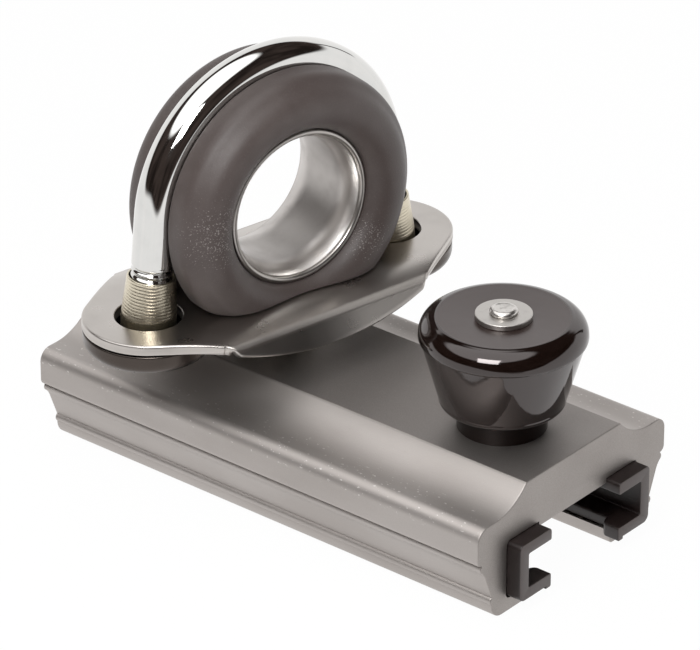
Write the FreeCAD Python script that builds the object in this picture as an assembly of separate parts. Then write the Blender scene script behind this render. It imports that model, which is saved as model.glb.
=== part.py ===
"""Genoa car for a 32 mm T-track, with a swivelling fairlead and a plunger stop.

Millimetres, +Z up. The origin is the centre of the slide's underside, +X runs along the track
towards the plunger, and the fairlead swivels about a vertical pivot on the centreline.
"""

import FreeCAD
import Part

import os
from math import acos, asin, atan2, cos, degrees, hypot, pi, radians, sin, sqrt, tan

V = FreeCAD.Vector
AXIS_X = V(1, 0, 0)
AXIS_Y = V(0, 1, 0)
AXIS_Z = V(0, 0, 1)
ORIGIN = V(0, 0, 0)

# Track that the slide runs on
TRACK_WIDTH = 32.0
TRACK_THICKNESS = 6.0
TRACK_SIDE_PLAY = 0.4
TRACK_HEIGHT_PLAY = 0.45

# Fits
LINER_FIT = 0.05
THREAD_FIT = 0.05
RUNNING_FIT = 0.05
SEAT_GAP = 0.1

# Liners: plastic C-channels, one each side of the slot
LINER_BACK = 2.55
LINER_UPPER_ARM = 2.4
LINER_LOWER_ARM = 2.3
LINER_ARM_REACH = 6.5
LINER_OVERHANG = 3.0
LINER_CORNER = 1.0
LINER_TIP_ROUND = 0.4
LINER_ARM_SETBACK = 0.5
LINER_HOOK_LENGTH = 4.2
LINER_HOOK_DROP = 0.5

# Slide body: an extrusion
BODY_LENGTH = 104.0
BODY_WIDTH = 54.6
BODY_HEIGHT = 24.15
LIP_THICKNESS = 2.65
LIP_SETBACK = 1.5
LIP_ROUND = 0.8
CEILING_STEP = 0.95
COVE_RADIUS = 12.2
COVE_DEPTH = 4.25
COVE_FROM_SIDE = 4.4
SHOULDER_RADIUS = 2.5
BAND_FOOT_Z = 12.6
BAND_CORNER = 1.2
BEAD_HEIGHT = 1.5
BEAD_PROUD = 0.45
STEP_INSET = 1.1
STEP_HEIGHT = 1.7
PANEL_SLANT = 1.8
LOWER_BEAD_Z = 4.0
FOOT_RADIUS = 3.0

# Plunger stop
PLUNGER_FROM_END = 16.3
PIN_RADIUS = 4.75
PIN_NOSE_CHAMFER = 0.8
PIN_ENGAGEMENT = 5.5
PIN_LIFT = 6.5
STEM_RADIUS = 2.4
SHOULDER_ABOVE_CEILING = 1.65
COLLAR_RADIUS = 8.25
COLLAR_HEIGHT = 4.5
COLLAR_ROUND = 0.5
HOUSING_WALL = 1.7
HOUSING_SETBACK = 0.35
SPRING_WIRE = 0.8
SPRING_TURNS = 4.5
SPRING_CLEARANCE = 0.25
SPRING_RESERVE = 0.5

# Plunger knob
KNOB_HEIGHT = 17.1
KNOB_FOOT_RADIUS = 11.4
KNOB_FOOT_ROUND = 1.2
KNOB_RIM_RADIUS = 15.3
KNOB_RIM_HEIGHT = 3.7
KNOB_RIM_STEP = 0.25
KNOB_FLAT_RADIUS = 12.3
KNOB_DISH = 0.25
KNOB_WASHER_RADIUS = 5.2
KNOB_WASHER_THICKNESS = 1.0
RIVET_RADIUS = 2.55
RIVET_HEIGHT = 1.0
RIVET_ROUND = 0.3

# Swivel between the slide and the fairlead
PIVOT_FROM_END = 33.1
SWIVEL_AT_REST = -12.2
PIVOT_SHOULDER_RADIUS = 5.0
PIVOT_THREAD_RADIUS = 4.0
SPACER_RADIUS = 7.8
SPACER_HEIGHT = 8.55
SWIVEL_WASHER_RADIUS = 8.7
SWIVEL_WASHER_THICKNESS = 1.0
NUT_RECESS_RADIUS = 8.0
NUT_RECESS_DEPTH = 5.3
PIVOT_NUT_FLATS = 13.0
PIVOT_NUT_HEIGHT = 3.6
NUT_WASHER_RADIUS = 7.6
NUT_WASHER_THICKNESS = 1.0

# Saddle plate
PLATE_THICKNESS = 2.0
COUNTERSINK_DEPTH = 1.8
TAB_OUTSIDE_LEG = 0.5
TAB_RADIUS = 12.2
TAB_HOLE_RADIUS = 6.25
FLARE_ANGLE = 32.0
CROWN_START = 10.0
CROWN_ANGLE = 19.0
FOLD_START = 17.0
FOLD_INNER_RADIUS = 1.5
FOLD_ANGLE = 65.0
LOBE_DEPTH = 5.7
LOBE_END_DROP = 0.5

# Bow, its sleeve nuts and the discs under the tabs
ROD_RADIUS = 3.85
BOW_RADIUS = 25.45
LEG_PITCH = 54.4
BOW_TURN = -1.2
NUT_TOP = 7.5
NUT_TOP_RADIUS = 4.5
NUT_NECK_RADIUS = 5.1
NUT_FOOT = -4.7
LEG_FOOT = -4.2
DISC_RADIUS = 12.1
DISC_GAP = 0.3
DISC_RIM = 1.6
DISC_ROUND = 2.6
DISC_CROWN = 0.5
DISC_POCKET_RADIUS = 6.5
DISC_SLOT_WIDTH = 2.0
DISC_SLOT_DEPTH = 1.0

# Fairlead ring and its thimble
RING_CENTRE_HEIGHT = 17.0
RING_RADIUS = 25.6
RING_HALF_WIDTH = 12.3
RING_EDGE_WIDTH = 9.3
RING_EDGE_ROUND = 1.5
RING_FOOT_CORNER = 6.0
GROOVE_FIT = 0.1
THIMBLE_FIT = 0.1
THROAT_RADIUS = 12.5
THIMBLE_WALL = 1.3
THIMBLE_LIP_RADIUS = 15.1
THIMBLE_HALF_WIDTH = 8.9
THROAT_HALF_LENGTH = 4.0
CHEEK_SETBACK = 0.5

# Heights that several pieces share
LINER_FOOT_Z = LIP_THICKNESS + LINER_FIT
GAP_FLOOR_Z = LINER_FOOT_Z + LINER_LOWER_ARM
GAP_ROOF_Z = GAP_FLOOR_Z + TRACK_THICKNESS + 2 * TRACK_HEIGHT_PLAY
LINER_TOP_Z = GAP_ROOF_Z + LINER_UPPER_ARM
CEILING_Z = LINER_TOP_Z + LINER_FIT - CEILING_STEP
TRACK_TOP_Z = GAP_FLOOR_Z + TRACK_HEIGHT_PLAY + TRACK_THICKNESS
COLLAR_TOP_Z = BODY_HEIGHT + COLLAR_HEIGHT
PIN_NOSE_Z = TRACK_TOP_Z - PIN_ENGAGEMENT
PIN_SHOULDER_Z = CEILING_Z + SHOULDER_ABOVE_CEILING
CLOSED_SPRING = (SPRING_TURNS + 1) * SPRING_WIRE
CHAMBER_TOP_Z = PIN_SHOULDER_Z + PIN_LIFT + CLOSED_SPRING + SPRING_RESERVE
KNOB_FOOT_Z = COLLAR_TOP_Z + SEAT_GAP
KNOB_TOP_Z = KNOB_FOOT_Z + KNOB_HEIGHT
SWIVEL_STACK = SPACER_HEIGHT + 2 * SWIVEL_WASHER_THICKNESS + SEAT_GAP
PLATE_UNDER_Z = BODY_HEIGHT + SWIVEL_STACK
PLATE_TOP_Z = PLATE_UNDER_Z + PLATE_THICKNESS
RING_CENTRE_Z = PLATE_TOP_Z + RING_CENTRE_HEIGHT

# Places along the track, measured from the body's middle
PLUNGER_X = BODY_LENGTH / 2 - PLUNGER_FROM_END
PIVOT_X = PIVOT_FROM_END - BODY_LENGTH / 2

# Widths across the slot, measured from the centreline
SIDE_Y = BODY_WIDTH / 2
TRACK_HALF = TRACK_WIDTH / 2 + TRACK_SIDE_PLAY
LINER_OUTER_Y = TRACK_HALF + LINER_BACK
LINER_TIP_Y = TRACK_HALF - LINER_ARM_REACH
LIP_Y = LINER_TIP_Y + LIP_SETBACK

# Bores that mating pieces share
CHAMBER_RADIUS = PIN_RADIUS + RUNNING_FIT
HOUSING_RADIUS = CHAMBER_RADIUS + HOUSING_WALL

# Tabs lie just outside the bow's legs. Each leg runs up from the plate, tangent to the bow's arc
TAB_PITCH = LEG_PITCH + 2 * TAB_OUTSIDE_LEG
LEG_REACH = hypot(LEG_PITCH / 2, RING_CENTRE_HEIGHT)
LEG_LENGTH = sqrt(LEG_REACH ** 2 - BOW_RADIUS ** 2)
LEG_SLOPE = atan2(RING_CENTRE_HEIGHT, LEG_PITCH / 2) + asin(BOW_RADIUS / LEG_REACH)
LEG_LEAN = degrees(pi / 2 - LEG_SLOPE)


# Helpers for outlines and solids

def flat_face(start, steps, place):
    """Face inside an outline. A step is a point, or a pair (through, end) for an arc."""
    edges = []
    here = start
    for step in steps + [start]:
        if isinstance(step[0], tuple):
            through, end = step
            edges.append(Part.Arc(place(*here), place(*through), place(*end)).toShape())
        elif hypot(step[0] - here[0], step[1] - here[1]) > 1e-6:
            end = step
            edges.append(Part.LineSegment(place(*here), place(*end)).toShape())
        here = end
    return Part.Face(Part.Wire(edges))


def across(y, z):
    """A point of a section across the track."""
    return V(0, y, z)


def radial(r, z):
    """A point of a section that is turned about Z, or that lies in the XZ plane."""
    return V(r, 0, z)


def plan(x, y):
    """A point of an outline seen from above."""
    return V(x, y, 0)


def turned(start, steps):
    """Solid turned about Z from its (radius, height) outline."""
    return flat_face(start, steps, radial).revolve(ORIGIN, AXIS_Z, 360)


def tube(inner, outer, foot, top):
    """Plain turned ring between two heights."""
    return turned((inner, foot), [(outer, foot), (outer, top), (inner, top)])


def rounded_corner(corner, radius, back, onward):
    """Steps round a square corner; back and onward are the unit directions of its two sides."""
    start = (corner[0] + radius * back[0], corner[1] + radius * back[1])
    end = (corner[0] + radius * onward[0], corner[1] + radius * onward[1])
    bulge = radius * (1 - sqrt(0.5))
    through = (corner[0] + bulge * (back[0] + onward[0]), corner[1] + bulge * (back[1] + onward[1]))
    return [start, (through, end)]


def both_halves(half, across_axis):
    """A half solid joined to its mirror image."""
    return half.fuse(half.mirror(ORIGIN, across_axis)).removeSplitter()


def upright_cylinder(radius, x, foot, top):
    """Cylinder about a vertical axis on the centreline, used as a cutter."""
    return Part.makeCylinder(radius, top - foot, V(x, 0, foot))


def at_x(shape, x):
    """The shape moved along the track."""
    shape.translate(V(x, 0, 0))
    return shape


def on_fairlead(shape, turn=0.0):
    """The shape turned with the fairlead, and by a turn of its own, over the pivot."""
    shape.rotate(ORIGIN, AXIS_Z, SWIVEL_AT_REST + turn)
    shape.translate(V(PIVOT_X, 0, 0))
    return shape


# Slide body and its liners

def body_side_steps():
    """Outline down one side of the extrusion, from the flat top to its foot."""
    valley_y = SIDE_Y - COVE_FROM_SIDE
    valley_z = BODY_HEIGHT - COVE_DEPTH
    sweep = acos((COVE_RADIUS - COVE_DEPTH) / COVE_RADIUS)
    cove_edge = (valley_y - COVE_RADIUS * sin(sweep), BODY_HEIGHT)
    cove_middle = (
        valley_y - COVE_RADIUS * sin(sweep / 2),
        valley_z + COVE_RADIUS * (1 - cos(sweep / 2)),
    )
    steps = [cove_edge, (cove_middle, (valley_y, valley_z))]
    steps += rounded_corner((SIDE_Y, valley_z), SHOULDER_RADIUS, (-1, 0), (0, -1))
    steps += rounded_corner((SIDE_Y, BAND_FOOT_Z), BAND_CORNER, (0, 1), (-1, 0))

    bead_y = SIDE_Y - BAND_CORNER
    bead_foot = BAND_FOOT_Z - BEAD_HEIGHT
    steps.append(((bead_y + BEAD_PROUD, BAND_FOOT_Z - BEAD_HEIGHT / 2), (bead_y, bead_foot)))
    panel_y = bead_y - STEP_INSET
    step_middle = (bead_y - 0.6 * STEP_INSET, bead_foot - 0.45 * STEP_HEIGHT)
    steps.append((step_middle, (panel_y, bead_foot - STEP_HEIGHT)))

    foot_y = panel_y - PANEL_SLANT
    steps.append((foot_y, LOWER_BEAD_Z + BEAD_HEIGHT / 2))
    steps.append(((foot_y + BEAD_PROUD, LOWER_BEAD_Z), (foot_y, LOWER_BEAD_Z - BEAD_HEIGHT / 2)))
    steps += rounded_corner((foot_y, 0), FOOT_RADIUS, (0, 1), (-1, 0))
    return steps


def slot_steps():
    """Outline of one side of the slot, in round the lip and up to the ceiling."""
    outer_y = LINER_OUTER_Y + LINER_FIT
    inner_y = LINER_TIP_Y - LINER_FIT
    top_z = LINER_TOP_Z + LINER_FIT
    steps = rounded_corner((LIP_Y, 0), LIP_ROUND, (1, 0), (0, 1))
    steps.append((LIP_Y, LIP_THICKNESS))
    steps += rounded_corner((outer_y, LIP_THICKNESS), LINER_CORNER, (-1, 0), (0, 1))
    steps += rounded_corner((outer_y, top_z), LINER_CORNER, (0, -1), (-1, 0))
    return steps + [(inner_y, top_z), (inner_y, CEILING_Z), (0, CEILING_Z)]


def along_track(face, length):
    """A section across the track extruded to a length about the origin."""
    solid = face.extrude(V(length, 0, 0))
    solid.translate(V(-length / 2, 0, 0))
    return solid


def slide_body():
    section = flat_face((0, BODY_HEIGHT), body_side_steps() + slot_steps(), across)
    half = along_track(section, BODY_LENGTH)
    body = both_halves(half, AXIS_Y)
    below = CEILING_Z - 1
    above = BODY_HEIGHT + 1
    return body.cut([
        upright_cylinder(HOUSING_RADIUS + THREAD_FIT, PLUNGER_X, below, above),
        upright_cylinder(PIVOT_THREAD_RADIUS + THREAD_FIT, PIVOT_X, below, above),
        upright_cylinder(NUT_RECESS_RADIUS, PIVOT_X, below, CEILING_Z + NUT_RECESS_DEPTH),
    ])


def liner_hook(half_length, end):
    """Full reach of the lower arm at one end, with a lug down past the lip's edge."""
    foot = LINER_FOOT_Z - LINER_HOOK_DROP
    lug_y = LIP_Y - SEAT_GAP
    steps = [(lug_y, LINER_FOOT_Z), (TRACK_HALF, LINER_FOOT_Z), (TRACK_HALF, GAP_FLOOR_Z)]
    steps += rounded_corner((LINER_TIP_Y, GAP_FLOOR_Z), LINER_TIP_ROUND, (1, 0), (0, -1))
    steps += rounded_corner((LINER_TIP_Y, foot), LINER_TIP_ROUND, (0, 1), (1, 0))
    hook = along_track(flat_face((lug_y, foot), steps, across), LINER_HOOK_LENGTH)
    return at_x(hook, end * (half_length - LINER_HOOK_LENGTH / 2))


def liner(side):
    """C-channel that lines one side of the slot, its lower arm behind the lip; side is +1 or -1."""
    half_length = BODY_LENGTH / 2 + LINER_OVERHANG
    arm_y = LIP_Y + LINER_ARM_SETBACK
    middle = ((LINER_TIP_Y + LINER_OUTER_Y) / 2, LINER_FOOT_Z)
    steps = rounded_corner((LINER_OUTER_Y, LINER_FOOT_Z), LINER_CORNER, (-1, 0), (0, 1))
    steps += rounded_corner((LINER_OUTER_Y, LINER_TOP_Z), LINER_CORNER, (0, -1), (-1, 0))
    steps += rounded_corner((LINER_TIP_Y, LINER_TOP_Z), LINER_TIP_ROUND, (1, 0), (0, -1))
    steps += rounded_corner((LINER_TIP_Y, GAP_ROOF_Z), LINER_TIP_ROUND, (0, 1), (1, 0))
    steps += [(TRACK_HALF, GAP_ROOF_Z), (TRACK_HALF, GAP_FLOOR_Z)]
    steps += rounded_corner((arm_y, GAP_FLOOR_Z), LINER_TIP_ROUND, (1, 0), (0, -1))
    steps += rounded_corner((arm_y, LINER_FOOT_Z), LINER_TIP_ROUND, (0, 1), (1, 0))
    channel = along_track(flat_face(middle, steps, across), 2 * half_length)
    hooks = [liner_hook(half_length, end) for end in (-1, 1)]
    channel = channel.fuse(hooks).removeSplitter()
    return channel if side > 0 else channel.mirror(ORIGIN, AXIS_Y)


# Plunger stop

def plunger_housing():
    """Collar on the body with a threaded skirt down to the slot's ceiling, bored for the pin."""
    foot = CEILING_Z + HOUSING_SETBACK
    stem_hole = STEM_RADIUS + RUNNING_FIT
    steps = [(HOUSING_RADIUS, foot), (HOUSING_RADIUS, BODY_HEIGHT), (COLLAR_RADIUS, BODY_HEIGHT)]
    steps += rounded_corner((COLLAR_RADIUS, COLLAR_TOP_Z), COLLAR_ROUND, (0, -1), (-1, 0))
    steps += [(stem_hole, COLLAR_TOP_Z), (stem_hole, CHAMBER_TOP_Z), (CHAMBER_RADIUS, CHAMBER_TOP_Z)]
    return at_x(turned((CHAMBER_RADIUS, foot), steps), PLUNGER_X)


def plunger_pin():
    """Pin with a chamfered nose, a shoulder for the spring and a stem riveted over the washer."""
    washer_top = KNOB_TOP_Z + KNOB_WASHER_THICKNESS
    rivet_top = washer_top + RIVET_HEIGHT
    steps = [
        (PIN_RADIUS - PIN_NOSE_CHAMFER, PIN_NOSE_Z),
        (PIN_RADIUS, PIN_NOSE_Z + PIN_NOSE_CHAMFER),
        (PIN_RADIUS, PIN_SHOULDER_Z),
        (STEM_RADIUS, PIN_SHOULDER_Z),
        (STEM_RADIUS, washer_top),
        (RIVET_RADIUS, washer_top),
    ]
    steps += rounded_corner((RIVET_RADIUS, rivet_top), RIVET_ROUND, (0, -1), (-1, 0))
    steps.append((0, rivet_top))
    return at_x(turned((0, PIN_NOSE_Z), steps), PLUNGER_X)


def plunger_spring():
    """Helix of round wire between the pin's shoulder and the roof of the housing."""
    coil_radius = CHAMBER_RADIUS - SPRING_CLEARANCE - SPRING_WIRE / 2
    foot = PIN_SHOULDER_Z + SPRING_WIRE / 2 + SEAT_GAP
    height = CHAMBER_TOP_Z - SPRING_WIRE / 2 - SEAT_GAP - foot
    helix = Part.makeHelix(height / SPRING_TURNS, height, coil_radius)
    wire_end = Part.Wire(Part.makeCircle(SPRING_WIRE / 2, V(coil_radius, 0, 0), AXIS_Y))
    coil = Part.Wire(helix).makePipeShell([wire_end], True, True)
    coil.translate(V(PLUNGER_X, 0, foot))
    return coil


def plunger_knob():
    """Moulded knob: a tapered side under a rounded rim, with a top slightly dished to the washer."""
    rim_z = KNOB_TOP_Z - KNOB_RIM_HEIGHT
    neck = KNOB_RIM_RADIUS - KNOB_RIM_STEP
    taper = (neck - KNOB_FOOT_RADIUS) / (rim_z - KNOB_FOOT_Z)
    round_top = (KNOB_FOOT_RADIUS + taper * KNOB_FOOT_ROUND, KNOB_FOOT_Z + KNOB_FOOT_ROUND)
    bulge = KNOB_FOOT_ROUND * (1 - sqrt(0.5))
    rim_width = KNOB_RIM_RADIUS - KNOB_FLAT_RADIUS
    rim_middle = (
        KNOB_FLAT_RADIUS + rim_width * sqrt(0.5),
        rim_z + (KNOB_RIM_HEIGHT + KNOB_DISH) * sqrt(0.5),
    )
    steps = [
        (KNOB_FOOT_RADIUS - KNOB_FOOT_ROUND, KNOB_FOOT_Z),
        ((KNOB_FOOT_RADIUS - bulge, KNOB_FOOT_Z + bulge), round_top),
        (neck, rim_z),
        (KNOB_RIM_RADIUS, rim_z),
        (rim_middle, (KNOB_FLAT_RADIUS, KNOB_TOP_Z + KNOB_DISH)),
        (KNOB_WASHER_RADIUS, KNOB_TOP_Z),
        (STEM_RADIUS, KNOB_TOP_Z),
    ]
    return at_x(turned((STEM_RADIUS, KNOB_FOOT_Z), steps), PLUNGER_X)


def knob_washer():
    top = KNOB_TOP_Z + KNOB_WASHER_THICKNESS
    return at_x(tube(STEM_RADIUS, KNOB_WASHER_RADIUS, KNOB_TOP_Z, top), PLUNGER_X)


# Swivel

def pivot_pin():
    """Countersunk pin: a shoulder that the saddle turns on, then a thread through the web."""
    head_top = PLATE_TOP_Z - SEAT_GAP
    head_foot = PLATE_TOP_Z - COUNTERSINK_DEPTH
    head_radius = PIVOT_SHOULDER_RADIUS + COUNTERSINK_DEPTH - SEAT_GAP
    thread_foot = CEILING_Z + SEAT_GAP
    return at_x(turned((0, thread_foot), [
        (PIVOT_THREAD_RADIUS, thread_foot),
        (PIVOT_THREAD_RADIUS, BODY_HEIGHT),
        (PIVOT_SHOULDER_RADIUS, BODY_HEIGHT),
        (PIVOT_SHOULDER_RADIUS, head_foot),
        (head_radius, head_top),
        (0, head_top),
    ]), PIVOT_X)


def swivel_washer(foot):
    bore = PIVOT_SHOULDER_RADIUS + RUNNING_FIT
    top = foot + SWIVEL_WASHER_THICKNESS
    return at_x(tube(bore, SWIVEL_WASHER_RADIUS, foot, top), PIVOT_X)


def swivel_spacer():
    foot = BODY_HEIGHT + SWIVEL_WASHER_THICKNESS
    bore = PIVOT_SHOULDER_RADIUS + RUNNING_FIT
    return at_x(tube(bore, SPACER_RADIUS, foot, foot + SPACER_HEIGHT), PIVOT_X)


def pivot_nut_washer():
    roof = CEILING_Z + NUT_RECESS_DEPTH
    bore = PIVOT_THREAD_RADIUS + THREAD_FIT
    return at_x(tube(bore, NUT_WASHER_RADIUS, roof - NUT_WASHER_THICKNESS, roof), PIVOT_X)


def pivot_nut():
    """Thin hexagon nut with chamfered corners, up in the recess."""
    top = CEILING_Z + NUT_RECESS_DEPTH - NUT_WASHER_THICKNESS
    foot = top - PIVOT_NUT_HEIGHT
    corner = PIVOT_NUT_FLATS / 2 / cos(radians(30))
    corners = [plan(corner * cos(radians(60 * k)), corner * sin(radians(60 * k))) for k in range(7)]
    hexagon = Part.Face(Part.makePolygon(corners)).extrude(V(0, 0, PIVOT_NUT_HEIGHT))
    hexagon.translate(V(0, 0, foot))
    chamfer = corner - PIVOT_NUT_FLATS / 2
    rounding = turned((0, foot), [
        (PIVOT_NUT_FLATS / 2, foot),
        (corner, foot + chamfer),
        (corner, top),
        (0, top),
    ])
    bore = upright_cylinder(PIVOT_THREAD_RADIUS + THREAD_FIT, 0, foot - 1, top + 1)
    return at_x(hexagon.common(rounding).cut(bore), PIVOT_X)


# Saddle plate

def plate_section_steps():
    """Outline of half the folded sheet: flat, then a wide arc, then a tight bend and the lobe."""
    crown = radians(CROWN_ANGLE)
    fold = radians(FOLD_ANGLE)
    crown_radius = (FOLD_START - CROWN_START) / sin(crown)
    outer = FOLD_INNER_RADIUS + PLATE_THICKNESS
    crown_centre = (CROWN_START, -crown_radius)
    fold_centre = (
        CROWN_START + (crown_radius - outer) * sin(crown),
        (crown_radius - outer) * cos(crown) - crown_radius,
    )
    slope = (LOBE_DEPTH + PLATE_THICKNESS) / sin(fold)
    run = (slope * cos(fold), -slope * sin(fold))

    def on_arc(centre, radius, angle):
        return (centre[0] + radius * sin(angle), centre[1] + radius * cos(angle))

    under_radius = crown_radius - PLATE_THICKNESS
    halfway = (crown + fold) / 2
    top_end = on_arc(fold_centre, outer, fold)
    under_end = on_arc(fold_centre, FOLD_INNER_RADIUS, fold)
    return [
        (CROWN_START, 0),
        (on_arc(crown_centre, crown_radius, crown / 2), on_arc(crown_centre, crown_radius, crown)),
        (on_arc(fold_centre, outer, halfway), top_end),
        (top_end[0] + run[0], top_end[1] + run[1]),
        (under_end[0] + run[0], under_end[1] + run[1]),
        under_end,
        (
            on_arc(fold_centre, FOLD_INNER_RADIUS, halfway),
            on_arc(crown_centre, under_radius, crown),
        ),
        (on_arc(crown_centre, under_radius, crown / 2), (CROWN_START, -PLATE_THICKNESS)),
        (0, -PLATE_THICKNESS),
    ]


def folded_strip(length):
    """Half of the folded sheet, carried along the tabs' line."""
    strip = flat_face((0, 0), plate_section_steps(), radial).extrude(V(0, length, 0))
    strip.translate(V(0, -length / 2, PLATE_TOP_Z))
    return strip


def flare_line():
    """Straight edge seen from above, from the tab's round to the point where it meets the fold."""
    flare = radians(FLARE_ANGLE)
    touch = (TAB_RADIUS * cos(flare), TAB_PITCH / 2 + TAB_RADIUS * sin(flare))
    return touch, (FOLD_START, touch[1] - (FOLD_START - touch[0]) / tan(flare))


def tab_outline(depth):
    """Prism of the plate seen from above: two round tabs that flare out to the folds."""
    centre = TAB_PITCH / 2
    touch, flare_end = flare_line()
    quarter = pi / 4 + radians(FLARE_ANGLE) / 2
    through = (TAB_RADIUS * cos(quarter), centre + TAB_RADIUS * sin(quarter))
    tab_end = (0, centre + TAB_RADIUS)
    quarter_face = flat_face((0, 0), [(FOLD_START, 0), flare_end, touch, (through, tab_end)], plan)
    prism = both_halves(quarter_face.extrude(V(0, 0, depth)), AXIS_Y)
    prism.translate(V(0, 0, PLATE_TOP_Z - depth + 1))
    return prism


def lobe_outline(reach):
    """Prism of the folded lobes seen along the track: a long arc that runs out at both ends."""
    half_length = flare_line()[1][1]
    crown_drop = (FOLD_START - CROWN_START) * tan(radians(CROWN_ANGLE / 2))
    end_z = -crown_drop - LOBE_END_DROP
    face = flat_face((-half_length, 1), [
        (-half_length, end_z),
        ((0, -LOBE_DEPTH), (half_length, end_z)),
        (half_length, 1),
    ], across)
    prism = face.extrude(V(reach, 0, 0))
    prism.translate(V(FOLD_START, 0, PLATE_TOP_Z))
    return prism


def saddle_plate():
    length = TAB_PITCH + 2 * TAB_RADIUS + 2
    depth = LOBE_DEPTH + 4 * PLATE_THICKNESS
    strip = folded_strip(length)
    half = strip.common(tab_outline(depth)).fuse(strip.common(lobe_outline(depth)))
    plate = both_halves(half, AXIS_X)
    holes = [
        Part.makeCylinder(TAB_HOLE_RADIUS, 2 * depth, V(0, side * TAB_PITCH / 2, PLATE_TOP_Z - depth))
        for side in (-1, 1)
    ]
    bore = PIVOT_SHOULDER_RADIUS + RUNNING_FIT
    countersink = turned((0, PLATE_UNDER_Z - 1), [
        (bore, PLATE_UNDER_Z - 1),
        (bore, PLATE_TOP_Z - COUNTERSINK_DEPTH),
        (bore + COUNTERSINK_DEPTH + 1, PLATE_TOP_Z + 1),
        (0, PLATE_TOP_Z + 1),
    ])
    return on_fairlead(plate.cut(holes + [countersink]))


# Bow, its sleeve nuts and the discs under the tabs

def along_leg(shape, side):
    """A shape about Z, whose origin is level with the plate, leaned along the leg on one side."""
    shape.rotate(ORIGIN, AXIS_X, side * LEG_LEAN)
    shape.translate(V(0, side * LEG_PITCH / 2, PLATE_TOP_Z))
    return shape


def bow_nut(side):
    """Sleeve nut that leans with the leg, tapered above the plate; side is +1 or -1."""
    bore = ROD_RADIUS + THREAD_FIT
    sleeve = turned((bore, NUT_FOOT), [
        (NUT_NECK_RADIUS, NUT_FOOT),
        (NUT_NECK_RADIUS, 0),
        (NUT_TOP_RADIUS, NUT_TOP),
        (bore, NUT_TOP),
    ])
    return on_fairlead(along_leg(sleeve, side), BOW_TURN)


def seat_disc(side):
    """Round-edged disc under a tab, with a pocket that the nut's foot stands in."""
    lean = radians(LEG_LEAN)
    top = -PLATE_THICKNESS - DISC_GAP
    rim_foot = top - DISC_RIM
    foot = rim_foot - DISC_ROUND - DISC_CROWN
    pocket_floor = NUT_FOOT * cos(lean) - NUT_NECK_RADIUS * abs(sin(lean)) - SEAT_GAP
    flat_radius = DISC_RADIUS - DISC_ROUND
    edge_middle = (flat_radius + DISC_ROUND * sqrt(0.5), rim_foot - DISC_ROUND * sqrt(0.5))
    disc = turned((0, foot), [
        ((flat_radius / 2, foot + DISC_CROWN / 4), (flat_radius, foot + DISC_CROWN)),
        (edge_middle, (DISC_RADIUS, rim_foot)),
        (DISC_RADIUS, top),
        (DISC_POCKET_RADIUS, top),
        (DISC_POCKET_RADIUS, pocket_floor),
        (0, pocket_floor),
    ])
    slot = Part.makeBox(
        DISC_SLOT_WIDTH, 2 * DISC_RADIUS, DISC_SLOT_DEPTH + 1,
        V(-DISC_SLOT_WIDTH / 2, -DISC_RADIUS, foot - 1),
    )
    disc = disc.cut(slot)
    disc.translate(V(0, side * TAB_PITCH / 2, PLATE_TOP_Z))
    return on_fairlead(disc)


def bow():
    """Round rod: an arc about the ring's centre, with a straight leg down into each nut."""
    lean = radians(LEG_LEAN)
    legs = []
    for side in (-1, 1):
        leg = Part.makeCylinder(ROD_RADIUS, LEG_LENGTH - LEG_FOOT, V(0, 0, LEG_FOOT))
        legs.append(along_leg(leg, side))
    centre = V(0, 0, RING_CENTRE_Z)
    start = V(0, BOW_RADIUS * cos(lean), RING_CENTRE_Z + BOW_RADIUS * sin(lean))
    leg_line = V(0, -sin(lean), cos(lean))
    section = Part.Face(Part.Wire(Part.makeCircle(ROD_RADIUS, start, leg_line)))
    arc = section.revolve(centre, AXIS_X, 180 - 2 * LEG_LEAN)
    return on_fairlead(arc.fuse(legs).removeSplitter(), BOW_TURN)


# Ring and thimble

def flared(radius, distance):
    """Radius at a distance from the middle of a surface that runs straight, then flares."""
    run = THIMBLE_HALF_WIDTH - THROAT_HALF_LENGTH
    rise = THIMBLE_LIP_RADIUS - THIMBLE_WALL - THROAT_RADIUS
    curve = (run ** 2 + rise ** 2) / (2 * rise)
    reach = max(0, abs(distance) - THROAT_HALF_LENGTH)
    return radius + curve - sqrt(curve ** 2 - reach ** 2)


def about_ring(shape):
    """A shape turned about Z, laid along the ring's axis at the ring's centre."""
    shape.rotate(ORIGIN, AXIS_Y, 90)
    shape.translate(V(0, 0, RING_CENTRE_Z))
    return shape


def thimble():
    """Liner with a straight throat, flared lips and rounded edges."""
    outer = THROAT_RADIUS + THIMBLE_WALL
    lip_in = THIMBLE_LIP_RADIUS - THIMBLE_WALL
    straight = THROAT_HALF_LENGTH
    half = THIMBLE_HALF_WIDTH
    halfway = (straight + half) / 2
    edge = (THIMBLE_LIP_RADIUS - THIMBLE_WALL / 2, half + THIMBLE_WALL / 2)
    solid = turned((THROAT_RADIUS, -straight), [
        (THROAT_RADIUS, straight),
        ((flared(THROAT_RADIUS, halfway), halfway), (lip_in, half)),
        (edge, (THIMBLE_LIP_RADIUS, half)),
        ((flared(outer, halfway), halfway), (outer, straight)),
        (outer, -straight),
        ((flared(outer, halfway), -halfway), (THIMBLE_LIP_RADIUS, -half)),
        ((edge[0], -edge[1]), (lip_in, -half)),
        ((flared(THROAT_RADIUS, halfway), -halfway), (THROAT_RADIUS, -straight)),
    ])
    return on_fairlead(about_ring(solid), BOW_TURN)


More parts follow.
